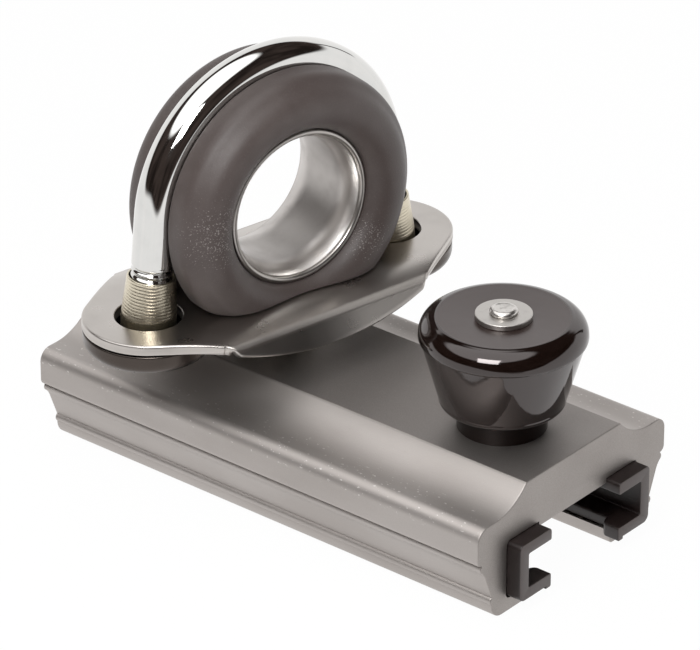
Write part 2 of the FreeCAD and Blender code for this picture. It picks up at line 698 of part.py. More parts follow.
def ring_section_steps(throat):
    """Steps over one cheek of the ring and down into the groove, as (radius, distance)."""
    cheek = THIMBLE_HALF_WIDTH - CHEEK_SETBACK
    halfway = (THROAT_HALF_LENGTH + cheek) / 2
    inner = (flared(throat, cheek), cheek)
    edge = (RING_RADIUS - RING_EDGE_ROUND, RING_EDGE_WIDTH)
    crown = ((inner[0] + edge[0]) / 2, RING_HALF_WIDTH)
    bulge = RING_EDGE_ROUND * (1 - sqrt(0.5))
    rim_middle = (RING_RADIUS - bulge, RING_EDGE_WIDTH - bulge)
    groove = ROD_RADIUS + GROOVE_FIT
    return [
        (throat, THROAT_HALF_LENGTH),
        ((flared(throat, halfway), halfway), inner),
        (crown, edge),
        (rim_middle, (RING_RADIUS, RING_EDGE_WIDTH - RING_EDGE_ROUND)),
        (RING_RADIUS, groove),
        (BOW_RADIUS, groove),
        ((BOW_RADIUS - groove * sqrt(0.5), groove * sqrt(0.5)), (BOW_RADIUS - groove, 0)),
    ]


def foot_cutter():
    """Everything above the plate, inside the round corners of the ring's flat foot."""
    centre_z = RING_FOOT_CORNER - RING_CENTRE_HEIGHT
    reach = RING_RADIUS - RING_FOOT_CORNER
    centre_y = sqrt(reach ** 2 - centre_z ** 2)
    out = (centre_y / reach, centre_z / reach)
    touch = (RING_RADIUS * out[0], RING_RADIUS * out[1])
    half_turn = (atan2(out[1], out[0]) - pi / 2) / 2
    middle = (
        centre_y + RING_FOOT_CORNER * cos(half_turn),
        centre_z + RING_FOOT_CORNER * sin(half_turn),
    )
    outside = (1.3 * touch[0], 1.3 * touch[1])
    top = 1.3 * RING_RADIUS
    steps = [(centre_y, -RING_CENTRE_HEIGHT), (middle, touch), outside, (outside[0], top), (0, top)]
    half = flat_face((0, -RING_CENTRE_HEIGHT), steps, across)
    cutter = both_halves(half.extrude(V(4 * RING_HALF_WIDTH, 0, 0)), AXIS_Y)
    cutter.translate(V(-2 * RING_HALF_WIDTH, 0, RING_CENTRE_Z))
    return cutter


def fairlead_ring():
    """Moulded ring with a groove for the bow, cut flat where it stands on the plate."""
    throat = THROAT_RADIUS + THIMBLE_WALL + THIMBLE_FIT
    half = turned((throat, 0), ring_section_steps(throat))
    whole = both_halves(half, AXIS_Z)
    return on_fairlead(about_ring(whole).common(foot_cutter()), BOW_TURN)


def write(name, shape):
    if shape.ShapeType != "Solid" and len(shape.Solids) == 1:
        shape = shape.Solids[0]
    if not shape.isValid() or shape.Volume <= 0:
        raise ValueError("bad solid: " + name)
    shape.exportStep(os.path.join("parts", name + ".step"))
    print(f"{name}: {len(shape.Solids)} solid, {shape.Volume / 1000:.2f} cm3")


def main():
    os.makedirs("parts", exist_ok=True)
    lower_washer_z = BODY_HEIGHT
    upper_washer_z = BODY_HEIGHT + SWIVEL_WASHER_THICKNESS + SPACER_HEIGHT
    pieces = {
        "slide_body": slide_body(),
        "liner_left": liner(-1),
        "liner_right": liner(1),
        "plunger_housing": plunger_housing(),
        "plunger_pin": plunger_pin(),
        "plunger_spring": plunger_spring(),
        "plunger_knob": plunger_knob(),
        "knob_washer": knob_washer(),
        "pivot_pin": pivot_pin(),
        "swivel_washer_lower": swivel_washer(lower_washer_z),
        "swivel_spacer": swivel_spacer(),
        "swivel_washer_upper": swivel_washer(upper_washer_z),
        "pivot_nut_washer": pivot_nut_washer(),
        "pivot_nut": pivot_nut(),
        "saddle_plate": saddle_plate(),
        "bow": bow(),
        "bow_nut_left": bow_nut(-1),
        "bow_nut_right": bow_nut(1),
        "seat_disc_left": seat_disc(-1),
        "seat_disc_right": seat_disc(1),
        "fairlead_ring": fairlead_ring(),
        "thimble": thimble(),
    }
    for name, shape in pieces.items():
        write(name, shape)


main()
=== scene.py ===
import bmesh
import bpy
import numpy as np
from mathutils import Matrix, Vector


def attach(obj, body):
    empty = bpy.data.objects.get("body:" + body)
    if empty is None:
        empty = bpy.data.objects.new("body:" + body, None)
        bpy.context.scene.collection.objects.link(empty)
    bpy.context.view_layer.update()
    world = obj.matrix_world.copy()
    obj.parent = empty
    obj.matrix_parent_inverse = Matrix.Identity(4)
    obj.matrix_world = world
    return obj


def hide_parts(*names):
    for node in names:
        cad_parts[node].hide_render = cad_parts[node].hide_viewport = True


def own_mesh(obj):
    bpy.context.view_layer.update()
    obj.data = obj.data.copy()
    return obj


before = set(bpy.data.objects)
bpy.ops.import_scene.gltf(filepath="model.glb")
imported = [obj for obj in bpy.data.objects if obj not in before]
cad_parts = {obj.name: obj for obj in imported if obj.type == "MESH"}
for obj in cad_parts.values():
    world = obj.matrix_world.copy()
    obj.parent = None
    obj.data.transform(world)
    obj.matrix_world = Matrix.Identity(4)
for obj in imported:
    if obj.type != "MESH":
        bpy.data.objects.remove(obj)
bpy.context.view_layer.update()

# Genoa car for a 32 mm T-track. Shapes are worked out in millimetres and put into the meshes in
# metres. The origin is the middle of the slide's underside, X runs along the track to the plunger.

MM = 0.001
TINY = 1e-6

# Sizes that several pieces share. On the saddle, u runs along the line of its tabs and v across it.
BODY_HALF_LENGTH = 52.0
BODY_HEIGHT = 24.15
SIDE_Y = 27.3
CEILING_Z = 13.4
LINER_HALF_LENGTH = 55.0
PLUNGER_X = 35.7
BORE_RADIUS = 6.5
COLLAR_TOP_Z = 28.65
CHAMBER_TOP_Z = 26.45
SHOULDER_Z = 15.05
STEM_RADIUS = 2.4
KNOB_FOOT_Z = 28.75
KNOB_TOP_Z = 45.85
WASHER_TOP_Z = 46.85
PIVOT_X = -18.9
SWIVEL_TURN = -12.2
BOW_TURN = -13.4
PLATE_TOP_Z = 36.8
PLATE_THICKNESS = 2.0
TAB_RADIUS = 12.2
TAB_FLARE = np.radians(33.5)
FOLD_LIMIT = 17.4
HOLE_U = 27.7
LEG_U = 27.2
RING_CENTRE_Z = 53.8
RING_RADIUS = 25.6
BOW_RADIUS = 25.45
ROD_RADIUS = 3.85

# A run of an outline that is longer than LONG_RUN gets a point GUARD inside each end that meets
# its neighbour at less than SHALLOW_TURN.
GUARD, LONG_RUN, SHALLOW_TURN = 0.08, 0.6, np.radians(40)


# Outlines

def arc_through(start, through, end, step):
    """Points after start on the circle through three points, about step millimetres apart."""
    (ax, ay), (bx, by), (cx, cy) = start, through, end
    d = 2 * (ax * (by - cy) + bx * (cy - ay) + cx * (ay - by))
    a2, b2, c2 = ax * ax + ay * ay, bx * bx + by * by, cx * cx + cy * cy
    centre = np.array([
        a2 * (by - cy) + b2 * (cy - ay) + c2 * (ay - by),
        a2 * (cx - bx) + b2 * (ax - cx) + c2 * (bx - ax),
    ]) / d
    radius = np.hypot(*(np.array(start) - centre))
    first, middle, last = (np.arctan2(p[1] - centre[1], p[0] - centre[0]) for p in (start, through, end))
    sweep = (last - first) % (2 * np.pi)
    if (middle - first) % (2 * np.pi) > sweep:
        sweep -= 2 * np.pi
    count = max(3, int(np.ceil(abs(sweep) * radius / step)))
    angle = first + sweep * np.arange(1, count + 1) / count
    return centre + radius * np.stack([np.cos(angle), np.sin(angle)], -1)


def outline(start, steps, step=0.25):
    """Polyline through steps; a step is a point, or a pair (through, end) for an arc."""
    runs = [np.array([start], float)]
    for item in steps:
        here = tuple(runs[-1][-1])
        if np.ndim(item[0]):
            runs.append(arc_through(here, item[0], item[1], step))
        elif np.hypot(item[0] - here[0], item[1] - here[1]) > TINY:
            runs.append(np.array([item], float))
    return np.concatenate(runs)


def rounding(y, z, dy, dz, backwards=False):
    """Steps of a quarter circle in the corner (y, z), from dy beside it to dz above it."""
    q = 1 - np.sqrt(0.5)
    start, end = (y + dy, z), (y, z + dz)
    if backwards:
        start, end = end, start
    return [start, ((y + dy * q, z + dz * q), end)]


def rounded(corners, step=0.2):
    """Closed polyline of (x, y, radius) corners: each corner is an arc that both its sides touch."""
    corners = np.array(corners, float)
    here, radius = corners[:, :2], corners[:, 2]
    back = np.roll(here, 1, 0) - here
    onward = np.roll(here, -1, 0) - here
    back /= np.linalg.norm(back, axis=1)[:, None]
    onward /= np.linalg.norm(onward, axis=1)[:, None]
    points = []
    for p, r, b, o in zip(here, radius, back, onward):
        half = np.arccos(np.clip(b @ o, -1, 1)) / 2
        if r <= 0 or half > np.pi / 2 - 1e-3:
            points.append(p[None])
            continue
        reach = r / np.tan(half)
        middle = (b + o) / np.linalg.norm(b + o)
        nearest = p + middle * (r / np.sin(half) - r)
        first = p + reach * b
        arc = arc_through(tuple(first), tuple(nearest), tuple(p + reach * o), min(step, r / 2.5))
        points += [first[None], arc]
    return np.concatenate(points)


def inset(loop, amount):
    """A closed anticlockwise polyline moved inwards along its own normals."""
    along = np.roll(loop, -1, 0) - np.roll(loop, 1, 0)
    along /= np.linalg.norm(along, axis=1)[:, None]
    return loop + amount * np.stack([-along[:, 1], along[:, 0]], -1)


def held(line, closed=False):
    """The line with guard points in its long runs, so that smooth shading stays flat between
    rounded corners."""
    onward = np.roll(line, -1, 0) - line
    length = np.linalg.norm(onward, axis=1)
    onward /= np.maximum(length, 1e-9)[:, None]
    shallow = (onward * np.roll(onward, 1, 0)).sum(1) > np.cos(SHALLOW_TURN)
    if not closed:
        shallow[0] = shallow[-1] = False
        length[-1] = 0
    points = []
    for k, here in enumerate(line):
        points.append(here)
        if length[k] > LONG_RUN:
            if shallow[k]:
                points.append(here + GUARD * onward[k])
            if shallow[(k + 1) % len(line)]:
                points.append(here + (length[k] - GUARD) * onward[k])
    return np.array(points)


# Meshes

def grid_faces(rows, columns, wrap_rows, wrap_columns):
    """Quads that join each point of a grid to its neighbours; wrapping closes that direction."""
    i, j = np.meshgrid(
        np.arange(rows if wrap_rows else rows - 1),
        np.arange(columns if wrap_columns else columns - 1),
        indexing="ij",
    )
    i2, j2 = (i + 1) % rows, (j + 1) % columns
    quads = np.stack([i * columns + j, i * columns + j2, i2 * columns + j2, i2 * columns + j], -1)
    return quads.reshape(-1, 4).tolist()


def in_scene(name, data):
    """A new object that holds a mesh, a lamp or a camera."""
    thing = bpy.data.objects.new(name, data)
    bpy.context.scene.collection.objects.link(thing)
    return thing


def solid(name, points, faces, sharp=40.0):
    """Closed mesh from points in millimetres: doubles merged, normals outwards, and smooth shading
    but for edges that turn by more than sharp degrees."""
    mesh = bpy.data.meshes.new(name)
    mesh.from_pydata((np.reshape(points, (-1, 3)) * MM).tolist(), [], faces)
    work = bmesh.new()
    work.from_mesh(mesh)
    bmesh.ops.remove_doubles(work, verts=work.verts, dist=TINY)
    bmesh.ops.dissolve_degenerate(work, edges=work.edges, dist=0.1 * TINY)
    bmesh.ops.recalc_face_normals(work, faces=work.faces)
    work.to_mesh(mesh)
    work.free()
    mesh.shade_smooth()
    mesh.set_sharp_from_angle(angle=np.radians(sharp))
    return in_scene(name, mesh)


def tube(name, rows, sharp=40.0):
    """Solid from a row of closed loops, with one face over the first loop and one over the last."""
    count, columns = rows.shape[:2]
    last = (count - 1) * columns
    ends = [list(range(columns)), [last + k for k in range(columns)]]
    return solid(name, rows, grid_faces(count, columns, False, True) + ends, sharp)


def dress(piece, body, material, node):
    """The piece's material, the body that it moves with and the solid that it stands for."""
    piece.data.materials.clear()
    piece.data.materials.append(material)
    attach(piece, body)
    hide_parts(node)
    return piece


def turned(name, profile, place, count=128, closed=True):
    """Solid of revolution of an (r, z) outline: x = r cos a, y = r sin a. Closed says that the
    outline is a loop that keeps off the axis."""
    r, z = held(profile, closed).T
    angle = (2 * np.pi * np.arange(count) / count)[:, None]
    points = np.stack([np.cos(angle) * r, np.sin(angle) * r, np.broadcast_to(z, (count, len(z)))], -1)
    return solid(name, place(points), grid_faces(count, len(r), True, closed))


def end_rounding(half_length, edge, count):
    """Places from an end face inwards, and how far a loop is drawn in at each of them:
    x = end - edge (1 - cos t), inset = edge (1 - sin t), and then a last place with no inset."""
    t = np.linspace(0, np.pi / 2, count)
    reach = half_length - edge + np.append(edge * np.cos(t), -0.1)
    return reach, np.append(edge * (1 - np.sin(t)), 0)


def section_rows(reach, insets, loops):
    """Rows of (x, y, z) for a piece whose ends are alike: each (y, z) loop drawn in by its inset,
    at -x from the end to the middle and then at +x from the middle to the end."""
    drawn = [inset(loop, amount) if amount > TINY else loop for loop, amount in zip(loops, insets)]
    half = [np.column_stack([np.full(len(loop), x), loop]) for loop, x in zip(drawn, reach)]
    return np.array([row * [-1, 1, 1] for row in half] + half[::-1])


def rotated(points, degrees, axis):
    """Points turned about one of the axes, 0 for X, 1 for Y and 2 for Z."""
    a = np.radians(degrees)
    i, j = [(1, 2), (2, 0), (0, 1)][axis]
    out = np.array(points, float)
    out[..., i] = np.cos(a) * points[..., i] - np.sin(a) * points[..., j]
    out[..., j] = np.sin(a) * points[..., i] + np.cos(a) * points[..., j]
    return out


def on_fairlead(points, turn):
    """Fairlead coordinates, with the tabs along Y, turned about Z and set over the pivot."""
    return rotated(points, turn, 2) + [PIVOT_X, 0, 0]


def about_ring(points):
    """Points about Z laid along the ring's axis at the ring's centre, on the turned fairlead."""
    return on_fairlead(rotated(points, 90, 1) + [0, 0, RING_CENTRE_Z], BOW_TURN)


def at_plunger(points):
    return points + [PLUNGER_X, 0, 0]


def at_pivot(points):
    return on_fairlead(points, 0)


def over_tab(side, height=0.0):
    """Places points about Z over the hole of a tab, raised by a height."""
    return lambda points: on_fairlead(points + [0, side * HOLE_U, height], SWIVEL_TURN)


def carve(piece, *cutters, sharp=35.0):
    """The piece less the cutters, by booleans that are applied at once."""
    for cutter in cutters:
        cut = piece.modifiers.new("cut", "BOOLEAN")
        cut.operation = "DIFFERENCE"
        cut.solver = "MANIFOLD"
        cut.object = cutter
    bpy.context.view_layer.update()
    carved = bpy.data.meshes.new_from_object(
        piece.evaluated_get(bpy.context.evaluated_depsgraph_get())
    )
    piece.modifiers.clear()
    piece.data = carved
    for cutter in cutters:
        bpy.data.objects.remove(cutter)
    carved.shade_smooth()
    carved.set_sharp_from_angle(angle=np.radians(sharp))
    return piece


# Finishes

class Finish:
    """A material with one main shader; its textures read the piece's own coordinates."""

    def __init__(self, name, colour, rough, metal=0.0, **sockets):
        self.material = bpy.data.materials.new(name)
        self.material.use_nodes = True
        self.nodes = self.material.node_tree.nodes
        self.links = self.material.node_tree.links
        self.shader = self.nodes["Principled BSDF"]
        self.place = self.nodes.new("ShaderNodeTexCoord").outputs["Object"]
        self.height = None
        self.shader.inputs["Base Color"].default_value = (*colour, 1)
        self.shader.inputs["Roughness"].default_value = rough
        self.shader.inputs["Metallic"].default_value = metal
        for socket, value in sockets.items():
            self.shader.inputs[socket.replace("_", " ")].default_value = value

    def add(self, kind, **inputs):
        """A node of a kind. A key in small letters is one of its settings, any other names a
        socket, or counts it as in i0, and takes a value or a link."""
        node = self.nodes.new("ShaderNode" + kind)
        settings = {
            key: value for key, value in inputs.items() if key.islower() and not key[1:].isdigit()
        }
        for key, value in settings.items():
            setattr(node, key, value)
        for key, value in inputs.items():
            if key in settings:
                continue
            socket = node.inputs[int(key[1:]) if key[1:].isdigit() else key]
            if isinstance(value, bpy.types.NodeSocket):
                self.links.new(value, socket)
            else:
                socket.default_value = value
        return node

    def seat(self, centre=(0, 0, 0), turn=0.0, stretch=(1, 1, 1)):
        """Coordinates centred on a place in millimetres, turned about Z and stretched."""
        a = np.radians(turn)
        x, y, z = (c * MM for c in centre)
        moved = (-(np.cos(a) * x + np.sin(a) * y), -(-np.sin(a) * x + np.cos(a) * y), -z)
        shifted = self.add(
            "Mapping", Vector=self.place, Location=moved, Rotation=(0, 0, -a)
        ).outputs[0]
        return self.add("Mapping", Vector=shifted, Scale=stretch).outputs[0]

    def noise(self, size, at=None, detail=3.0, rough=0.5):
        """Noise whose features are about size millimetres wide, from 0 to 1."""
        return self.add(
            "TexNoise", Vector=at or self.place, Scale=1 / (size * MM), Detail=detail, Roughness=rough
        ).outputs["Fac"]

    def ramp(self, value, low, high, to_low=0.0, to_high=1.0):
        """value from low to high, smoothly, onto to_low to to_high."""
        return self.add(
            "MapRange", Value=value, i1=low, i2=high, i3=to_low, i4=to_high,
            interpolation_type="SMOOTHSTEP",
        ).outputs[0]

    def rise(self, value, low, high, to_low=0.0, to_high=1.0):
        """The same along a coordinate, with its two places in millimetres."""
        return self.ramp(value, low * MM, high * MM, to_low, to_high)

    def math(self, a, b=0.0, operation="ADD"):
        """Two values put together, by default added."""
        return self.add("Math", operation=operation, i0=a, i1=b).outputs[0]

    def split(self, at=None):
        """The three coordinates of the piece, or of another seat."""
        return self.add("SeparateXYZ", Vector=at or self.place).outputs

    def tint(self, amount, colour):
        """Blends the base colour towards another where amount is 1."""
        current = self.shader.inputs["Base Color"]
        blend = self.add("Mix", data_type="RGBA", i0=amount)
        if current.is_linked:
            self.links.new(current.links[0].from_socket, blend.inputs[6])
        else:
            blend.inputs[6].default_value = current.default_value
        blend.inputs[7].default_value = (*colour, 1)
        self.links.new(blend.outputs[2], current)

    def roughen(self, amount, low, high):
        """Roughness from low where amount is 0 to high where it is 1."""
        self.links.new(self.ramp(amount, 0, 1, low, high), self.shader.inputs["Roughness"])

    def relief(self, height, depth):
        """Bump of a height from 0 to 1, depth millimetres deep; reliefs add up."""
        bump = self.math(height, depth * MM, "MULTIPLY")
        self.height = bump if self.height is None else self.math(self.height, bump)
        return self

    def done(self):
        """The material, with its reliefs laid on."""
        if self.height is not None:
            bump = self.add("Bump", Height=self.height, Strength=1.0, Distance=1.0)
            self.links.new(bump.outputs[0], self.shader.inputs["Normal"])
        return self.material


def anodised_finish():
    """Satin anodised extrusion: fine blasted speckle, faint drawing lines along X and dust pits,
    a flat top darkened with painted shade, darker end faces and bright nicks along the shoulders."""
    f = Finish("satin anodised", (0.43, 0.402, 0.383), 0.55, 1.0)
    lines = f.noise(0.35, f.seat(stretch=(0.012, 1, 1)), 2)
    speckle = f.noise(0.12, detail=2)
    clouds = f.noise(9, f.seat(stretch=(0.35, 1, 1)), 4)
    pits = f.ramp(f.noise(0.7, detail=1), 0.72, 0.78)
    x, _, z = f.split()
    flat = f.rise(z, BODY_HEIGHT - 0.4, BODY_HEIGHT - 0.1)
    end_faces = f.rise(f.math(x, operation="ABSOLUTE"), BODY_HALF_LENGTH - 0.2, BODY_HALF_LENGTH - 0.02)
    shoulder = f.math(f.rise(z, 16.8, 17.6), f.rise(z, 20.3, 19.9), "MULTIPLY")
    shoulder = f.math(shoulder, end_faces, "SUBTRACT")
    chips = f.ramp(f.noise(0.5, f.seat(stretch=(0.6, 1, 1)), 2), 0.66, 0.71)
    nicks = f.math(shoulder, chips, "MULTIPLY")
    f.tint(f.ramp(clouds, 0.35, 0.7, 0, 0.35), (0.34, 0.31, 0.29))
    # Painted shade: the flat top's colour is darkened.
    f.tint(f.math(flat, 0.68, "MULTIPLY"), (0.25, 0.232, 0.22))
    # The end faces are tinted darker.
    f.tint(f.math(end_faces, 0.72, "MULTIPLY"), (0.27, 0.25, 0.235))
    f.tint(f.ramp(speckle, 0.3, 0.8, 0, 0.4), (0.52, 0.485, 0.465))
    f.tint(f.math(nicks, 0.7, "MULTIPLY"), (0.78, 0.76, 0.74))
    f.roughen(f.math(clouds, speckle, "MULTIPLY"), 0.5, 0.72)
    f.relief(lines, 0.006).relief(speckle, 0.006).relief(pits, -0.015)
    f.relief(nicks, 0.012)
    return f.done()


def liner_finish():
    """Satin black moulding whose end faces are painted paler, as painted light falling on them."""
    f = Finish("satin black plastic", (0.012, 0.0072, 0.0066), 0.4, 0.0, Specular_IOR_Level=0.5)
    f.tint(f.ramp(f.noise(2.5, detail=4), 0.4, 0.75), (0.018, 0.012, 0.011))
    ends = f.math(f.split()[0], operation="ABSOLUTE")
    end_faces = f.rise(ends, LINER_HALF_LENGTH - 0.12, LINER_HALF_LENGTH - 0.02)
    # Painted light: the end faces are tinted paler, as where light from the right falls on them.
    f.tint(end_faces, (0.068, 0.052, 0.048))
    f.relief(f.noise(0.3, detail=2), 0.012)
    return f.done()


def scaled(values, factor):
    return tuple(factor * value for value in values)


def polished_finish(name, colour, rough, scratch=0.002, shade_height=None):
    """Polished stainless steel with hairlines and a little haze, darkened with painted shade under a
    height and brushed along the fold just above it, more towards the far tab."""
    f = Finish(name, colour, rough, 1.0)
    hairs = f.noise(0.2, f.seat(turn=SWIVEL_TURN, stretch=(1, 0.02, 1)), 2)
    haze = f.noise(5, detail=5)
    f.tint(f.ramp(haze, 0.45, 0.8, 0, 0.3), scaled(colour, 0.8))
    spread = f.math(haze, 0.33, "MULTIPLY")
    if shade_height:
        _, u, height = f.split(f.seat((PIVOT_X, 0, 0), SWIVEL_TURN))
        # Painted shade: the colour darkens below the given height.
        f.tint(f.rise(height, shade_height + 0.6, shade_height, 0, 0.85), scaled(colour, 0.66))
        under, over = f.rise(height, shade_height + 1.6, shade_height + 1.3), f.rise(height, shade_height + 0.5, shade_height + 0.8)
        fold = f.math(f.math(under, over, "MULTIPLY"), f.rise(u, -16, 14, 0.3, 0.75), "MULTIPLY")
        spread = f.math(spread, fold)
    f.roughen(spread, rough, rough + 0.36)
    f.relief(hairs, scratch)
    return f.done()


def moulded_ring_finish():
    """Charcoal moulding with a fine grain, a soft sheen, faint clouds and bright specks of painted
    sheen, which gather in two patches where sparkle of light is painted."""
    f = Finish("charcoal moulding", (0.058, 0.0435, 0.04), 0.48, 0.0, Sheen_Weight=0.06)
    grain = f.noise(0.3, detail=3)
    patch = f.noise(8, detail=4)
    at = f.seat((PIVOT_X, 0, RING_CENTRE_Z), BOW_TURN)
    # Two patches of painted sheen, where the bright specks gather.
    sheen_patches = 0.0
    for place, reach in (((11, 14, -10), 7.5), ((11, -19, 1), 12)):
        away = f.add("VectorMath", operation="DISTANCE", i0=at, i1=scaled(place, MM))
        sheen_patches = f.math(f.rise(away.outputs["Value"], reach, 0.2 * reach, 0, 0.19), sheen_patches)
    sheen_specks = f.ramp(f.math(f.noise(0.28, detail=2), sheen_patches), 0.77, 0.82)
    f.tint(f.ramp(patch, 0.35, 0.75), (0.072, 0.057, 0.053))
    f.tint(f.ramp(grain, 0.5, 0.8, 0, 0.5), (0.098, 0.08, 0.075))
    # Painted sheen: bright specks as sparkle of light.
    f.tint(f.math(sheen_specks, 0.7, "MULTIPLY"), (0.28, 0.255, 0.245))
    f.roughen(grain, 0.4, 0.58)
    f.relief(grain, 0.025).relief(sheen_specks, 0.012)
    return f.done()


def thimble_finish():
    """Satin stainless with brushed rings about its axis and cloudy stains, painted shade in the
    throat, a painted highlight in the near mouth and darker again on the near lip."""
    f = Finish("satin stainless", (0.52, 0.495, 0.475), 0.4, 1.0)
    axis = f.split(f.seat((PIVOT_X, 0, RING_CENTRE_Z), BOW_TURN))[0]
    rings = f.add(
        "TexNoise", Vector=f.add("CombineXYZ", X=axis).outputs[0], Scale=4000, Detail=2
    ).outputs["Fac"]
    stain = f.noise(4, detail=5, rough=0.6)
    throat = f.rise(f.math(axis, operation="ABSOLUTE"), 6.5, 4.5)
    mouth = f.rise(axis, 4.0, 7.0)
    lip = f.rise(axis, 8.75, 8.9)
    f.tint(f.ramp(stain, 0.45, 0.75, 0, 0.5), (0.34, 0.32, 0.305))
    # Painted shade: the throat's colour is darkened.
    f.tint(f.math(throat, 0.7, "MULTIPLY"), (0.37, 0.35, 0.335))
    # Painted highlight: the near mouth is tinted almost white, as where the panel's light falls.
    f.tint(mouth, (0.9, 0.875, 0.85))
    f.tint(lip, (0.40, 0.38, 0.36))
    f.roughen(f.math(stain, f.math(mouth, 0.4, "MULTIPLY"), "SUBTRACT"), 0.28, 0.5)
    f.relief(rings, 0.004).relief(f.noise(0.35, detail=3), 0.006)
    return f.done()


def knob_finish(name, shine):
    """Glossy black moulding with faint waves, a little dust, a warm gloss and a duller flat top."""
    f = Finish(name, (0.006, 0.003, 0.0022), 0.07, 0.0, Specular_IOR_Level=shine,
               Specular_Tint=(1, 0.92, 0.91, 1))
    wave = f.noise(6, detail=2)
    x, y, z = f.split(f.seat((PLUNGER_X, 0, 0)))
    across = f.add("VectorMath", operation="LENGTH", i0=f.add("CombineXYZ", X=x, Y=y).outputs[0])
    inside = f.rise(across.outputs["Value"], 12.3, 11.9)
    flat = f.math(inside, f.rise(z, KNOB_TOP_Z - 1.0, KNOB_TOP_Z - 0.5), "MULTIPLY")
    dust = f.ramp(f.noise(0.5, detail=1), 0.7, 0.76)
    f.tint(f.math(flat, 0.85, "MULTIPLY"), (0.024, 0.015, 0.013))
    f.roughen(f.math(flat, f.math(dust, 0.3, "MULTIPLY")), 0.07, 0.3)
    f.relief(wave, 0.05).relief(f.noise(0.8, detail=2), 0.002)
    return f.done()


def turned_steel_finish(name, colour, rough, pitch, depth=0.004):
    """Lathe-turned steel: fine rings stacked along the axis, uneven in depth."""
    f = Finish(name, colour, rough, 1.0)
    rings = f.add(
        "TexNoise", Vector=f.add("CombineXYZ", Z=f.split()[2]).outputs[0],
        Scale=1 / (pitch * MM), Detail=3,
    ).outputs["Fac"]
    f.tint(f.ramp(rings, 0.5, 0.75, 0, 0.5), scaled(colour, 0.55))
    f.tint(f.ramp(f.noise(2, detail=4), 0.5, 0.8, 0, 0.4), scaled(colour, 0.7))
    f.roughen(rings, rough, rough + 0.15)
    f.relief(rings, depth)
    return f.done()


def hammered_finish():
    """Rivet end: bright steel dented by the riveting hammer."""
    f = Finish("hammered steel", (0.62, 0.6, 0.575), 0.3, 1.0)
    dents = f.add("TexVoronoi", Vector=f.place, Scale=900, Smoothness=1.0, feature="SMOOTH_F1")
    f.tint(f.ramp(f.noise(0.8, detail=4), 0.5, 0.75, 0, 0.6), (0.3, 0.285, 0.27))
    f.relief(dents.outputs["Distance"], 0.09).relief(f.noise(0.3, detail=3), 0.02)
    return f.done()


def bearing_finish():
    """Dull black plastic of the swivel washers."""
    f = Finish("bearing plastic", (0.03, 0.03, 0.03), 0.5)
    f.relief(f.noise(0.4), 0.01)
    return f.done()


# Slide body and liners

def body_loop():
    """The extrusion's (y, z) outline, one half from the flat top to the slot and its mirror.
    Going down: cove, rounded shoulder, bead, panel, low bead, rounded foot, lip, liner channel."""
    cove_radius, cove_depth = 12.2, 4.25
    valley_y, valley_z = SIDE_Y - 4.4, BODY_HEIGHT - cove_depth
    sweep = np.arccos((cove_radius - cove_depth) / cove_radius)
    edge_y = valley_y - cove_radius * np.sin(sweep)
    cove_middle = (
        valley_y - cove_radius * np.sin(sweep / 2), valley_z + cove_radius * (1 - np.cos(sweep / 2))
    )
    shoulder, ledge, foot, lip, channel = 2.5, 1.2, 3.0, 0.8, 1.0
    bead_y, panel_y, foot_y = SIDE_Y - ledge, SIDE_Y - 2.3, SIDE_Y - 4.1
    bead_z, low_bead_z, half_bead, bulge = 11.85, 4.0, 0.75, 0.45
    lip_y, lip_z, channel_y, channel_z, stem_y = 11.4, 2.65, 19.0, 14.35, 9.85
    half = outline((0, BODY_HEIGHT), [
        (edge_y - 0.15, BODY_HEIGHT),
        ((edge_y + 0.03, BODY_HEIGHT - 0.03), (edge_y + 0.17, BODY_HEIGHT - 0.15)),
        (cove_middle, (valley_y, valley_z)),
        *rounding(SIDE_Y, valley_z, -shoulder, -shoulder),
        *rounding(SIDE_Y, bead_z + half_bead, -ledge, ledge, True),
        ((bead_y + bulge, bead_z), (bead_y, bead_z - half_bead)),
        ((bead_y - 0.66, 10.335), (panel_y, 9.4)),
        (foot_y, low_bead_z + half_bead),
        ((foot_y + bulge, low_bead_z), (foot_y, low_bead_z - half_bead)),
        *rounding(foot_y, 0, -foot, foot, True),
        *rounding(lip_y, 0, lip, lip),
        (lip_y, lip_z),
        *rounding(channel_y, lip_z, -channel, channel),
        *rounding(channel_y, channel_z, -channel, -channel, True),
        (stem_y, channel_z),
        (stem_y, CEILING_Z),
    ])
    mirrored = half[::-1] * [-1, 1]
    return np.concatenate([mirrored, half[1:]])[::-1]


def slide_body_piece():
    """The extrusion with softly broken ends, bored for the plunger and the pivot nut."""
    loop = held(body_loop(), True)
    reach, insets = end_rounding(BODY_HALF_LENGTH, 0.2, 5)
    body = tube("slide_body_piece", section_rows(reach, insets, [loop] * len(reach)), 28)
    low, high, bore_radius = 10, 30, BORE_RADIUS + 0.05
    recess_radius, recess_top, pin_radius = 8, 18.7, 4.05
    bore = np.array([(0, low), (bore_radius, low), (bore_radius, high), (0, high)], float)
    recess = np.array([
        (0, low), (recess_radius, low), (recess_radius, recess_top), (pin_radius, recess_top),
        (pin_radius, high), (0, high),
    ], float)
    return carve(
        body, turned("bore", bore, at_plunger, 96, False), turned("recess", recess, at_pivot, 96, False)
    )


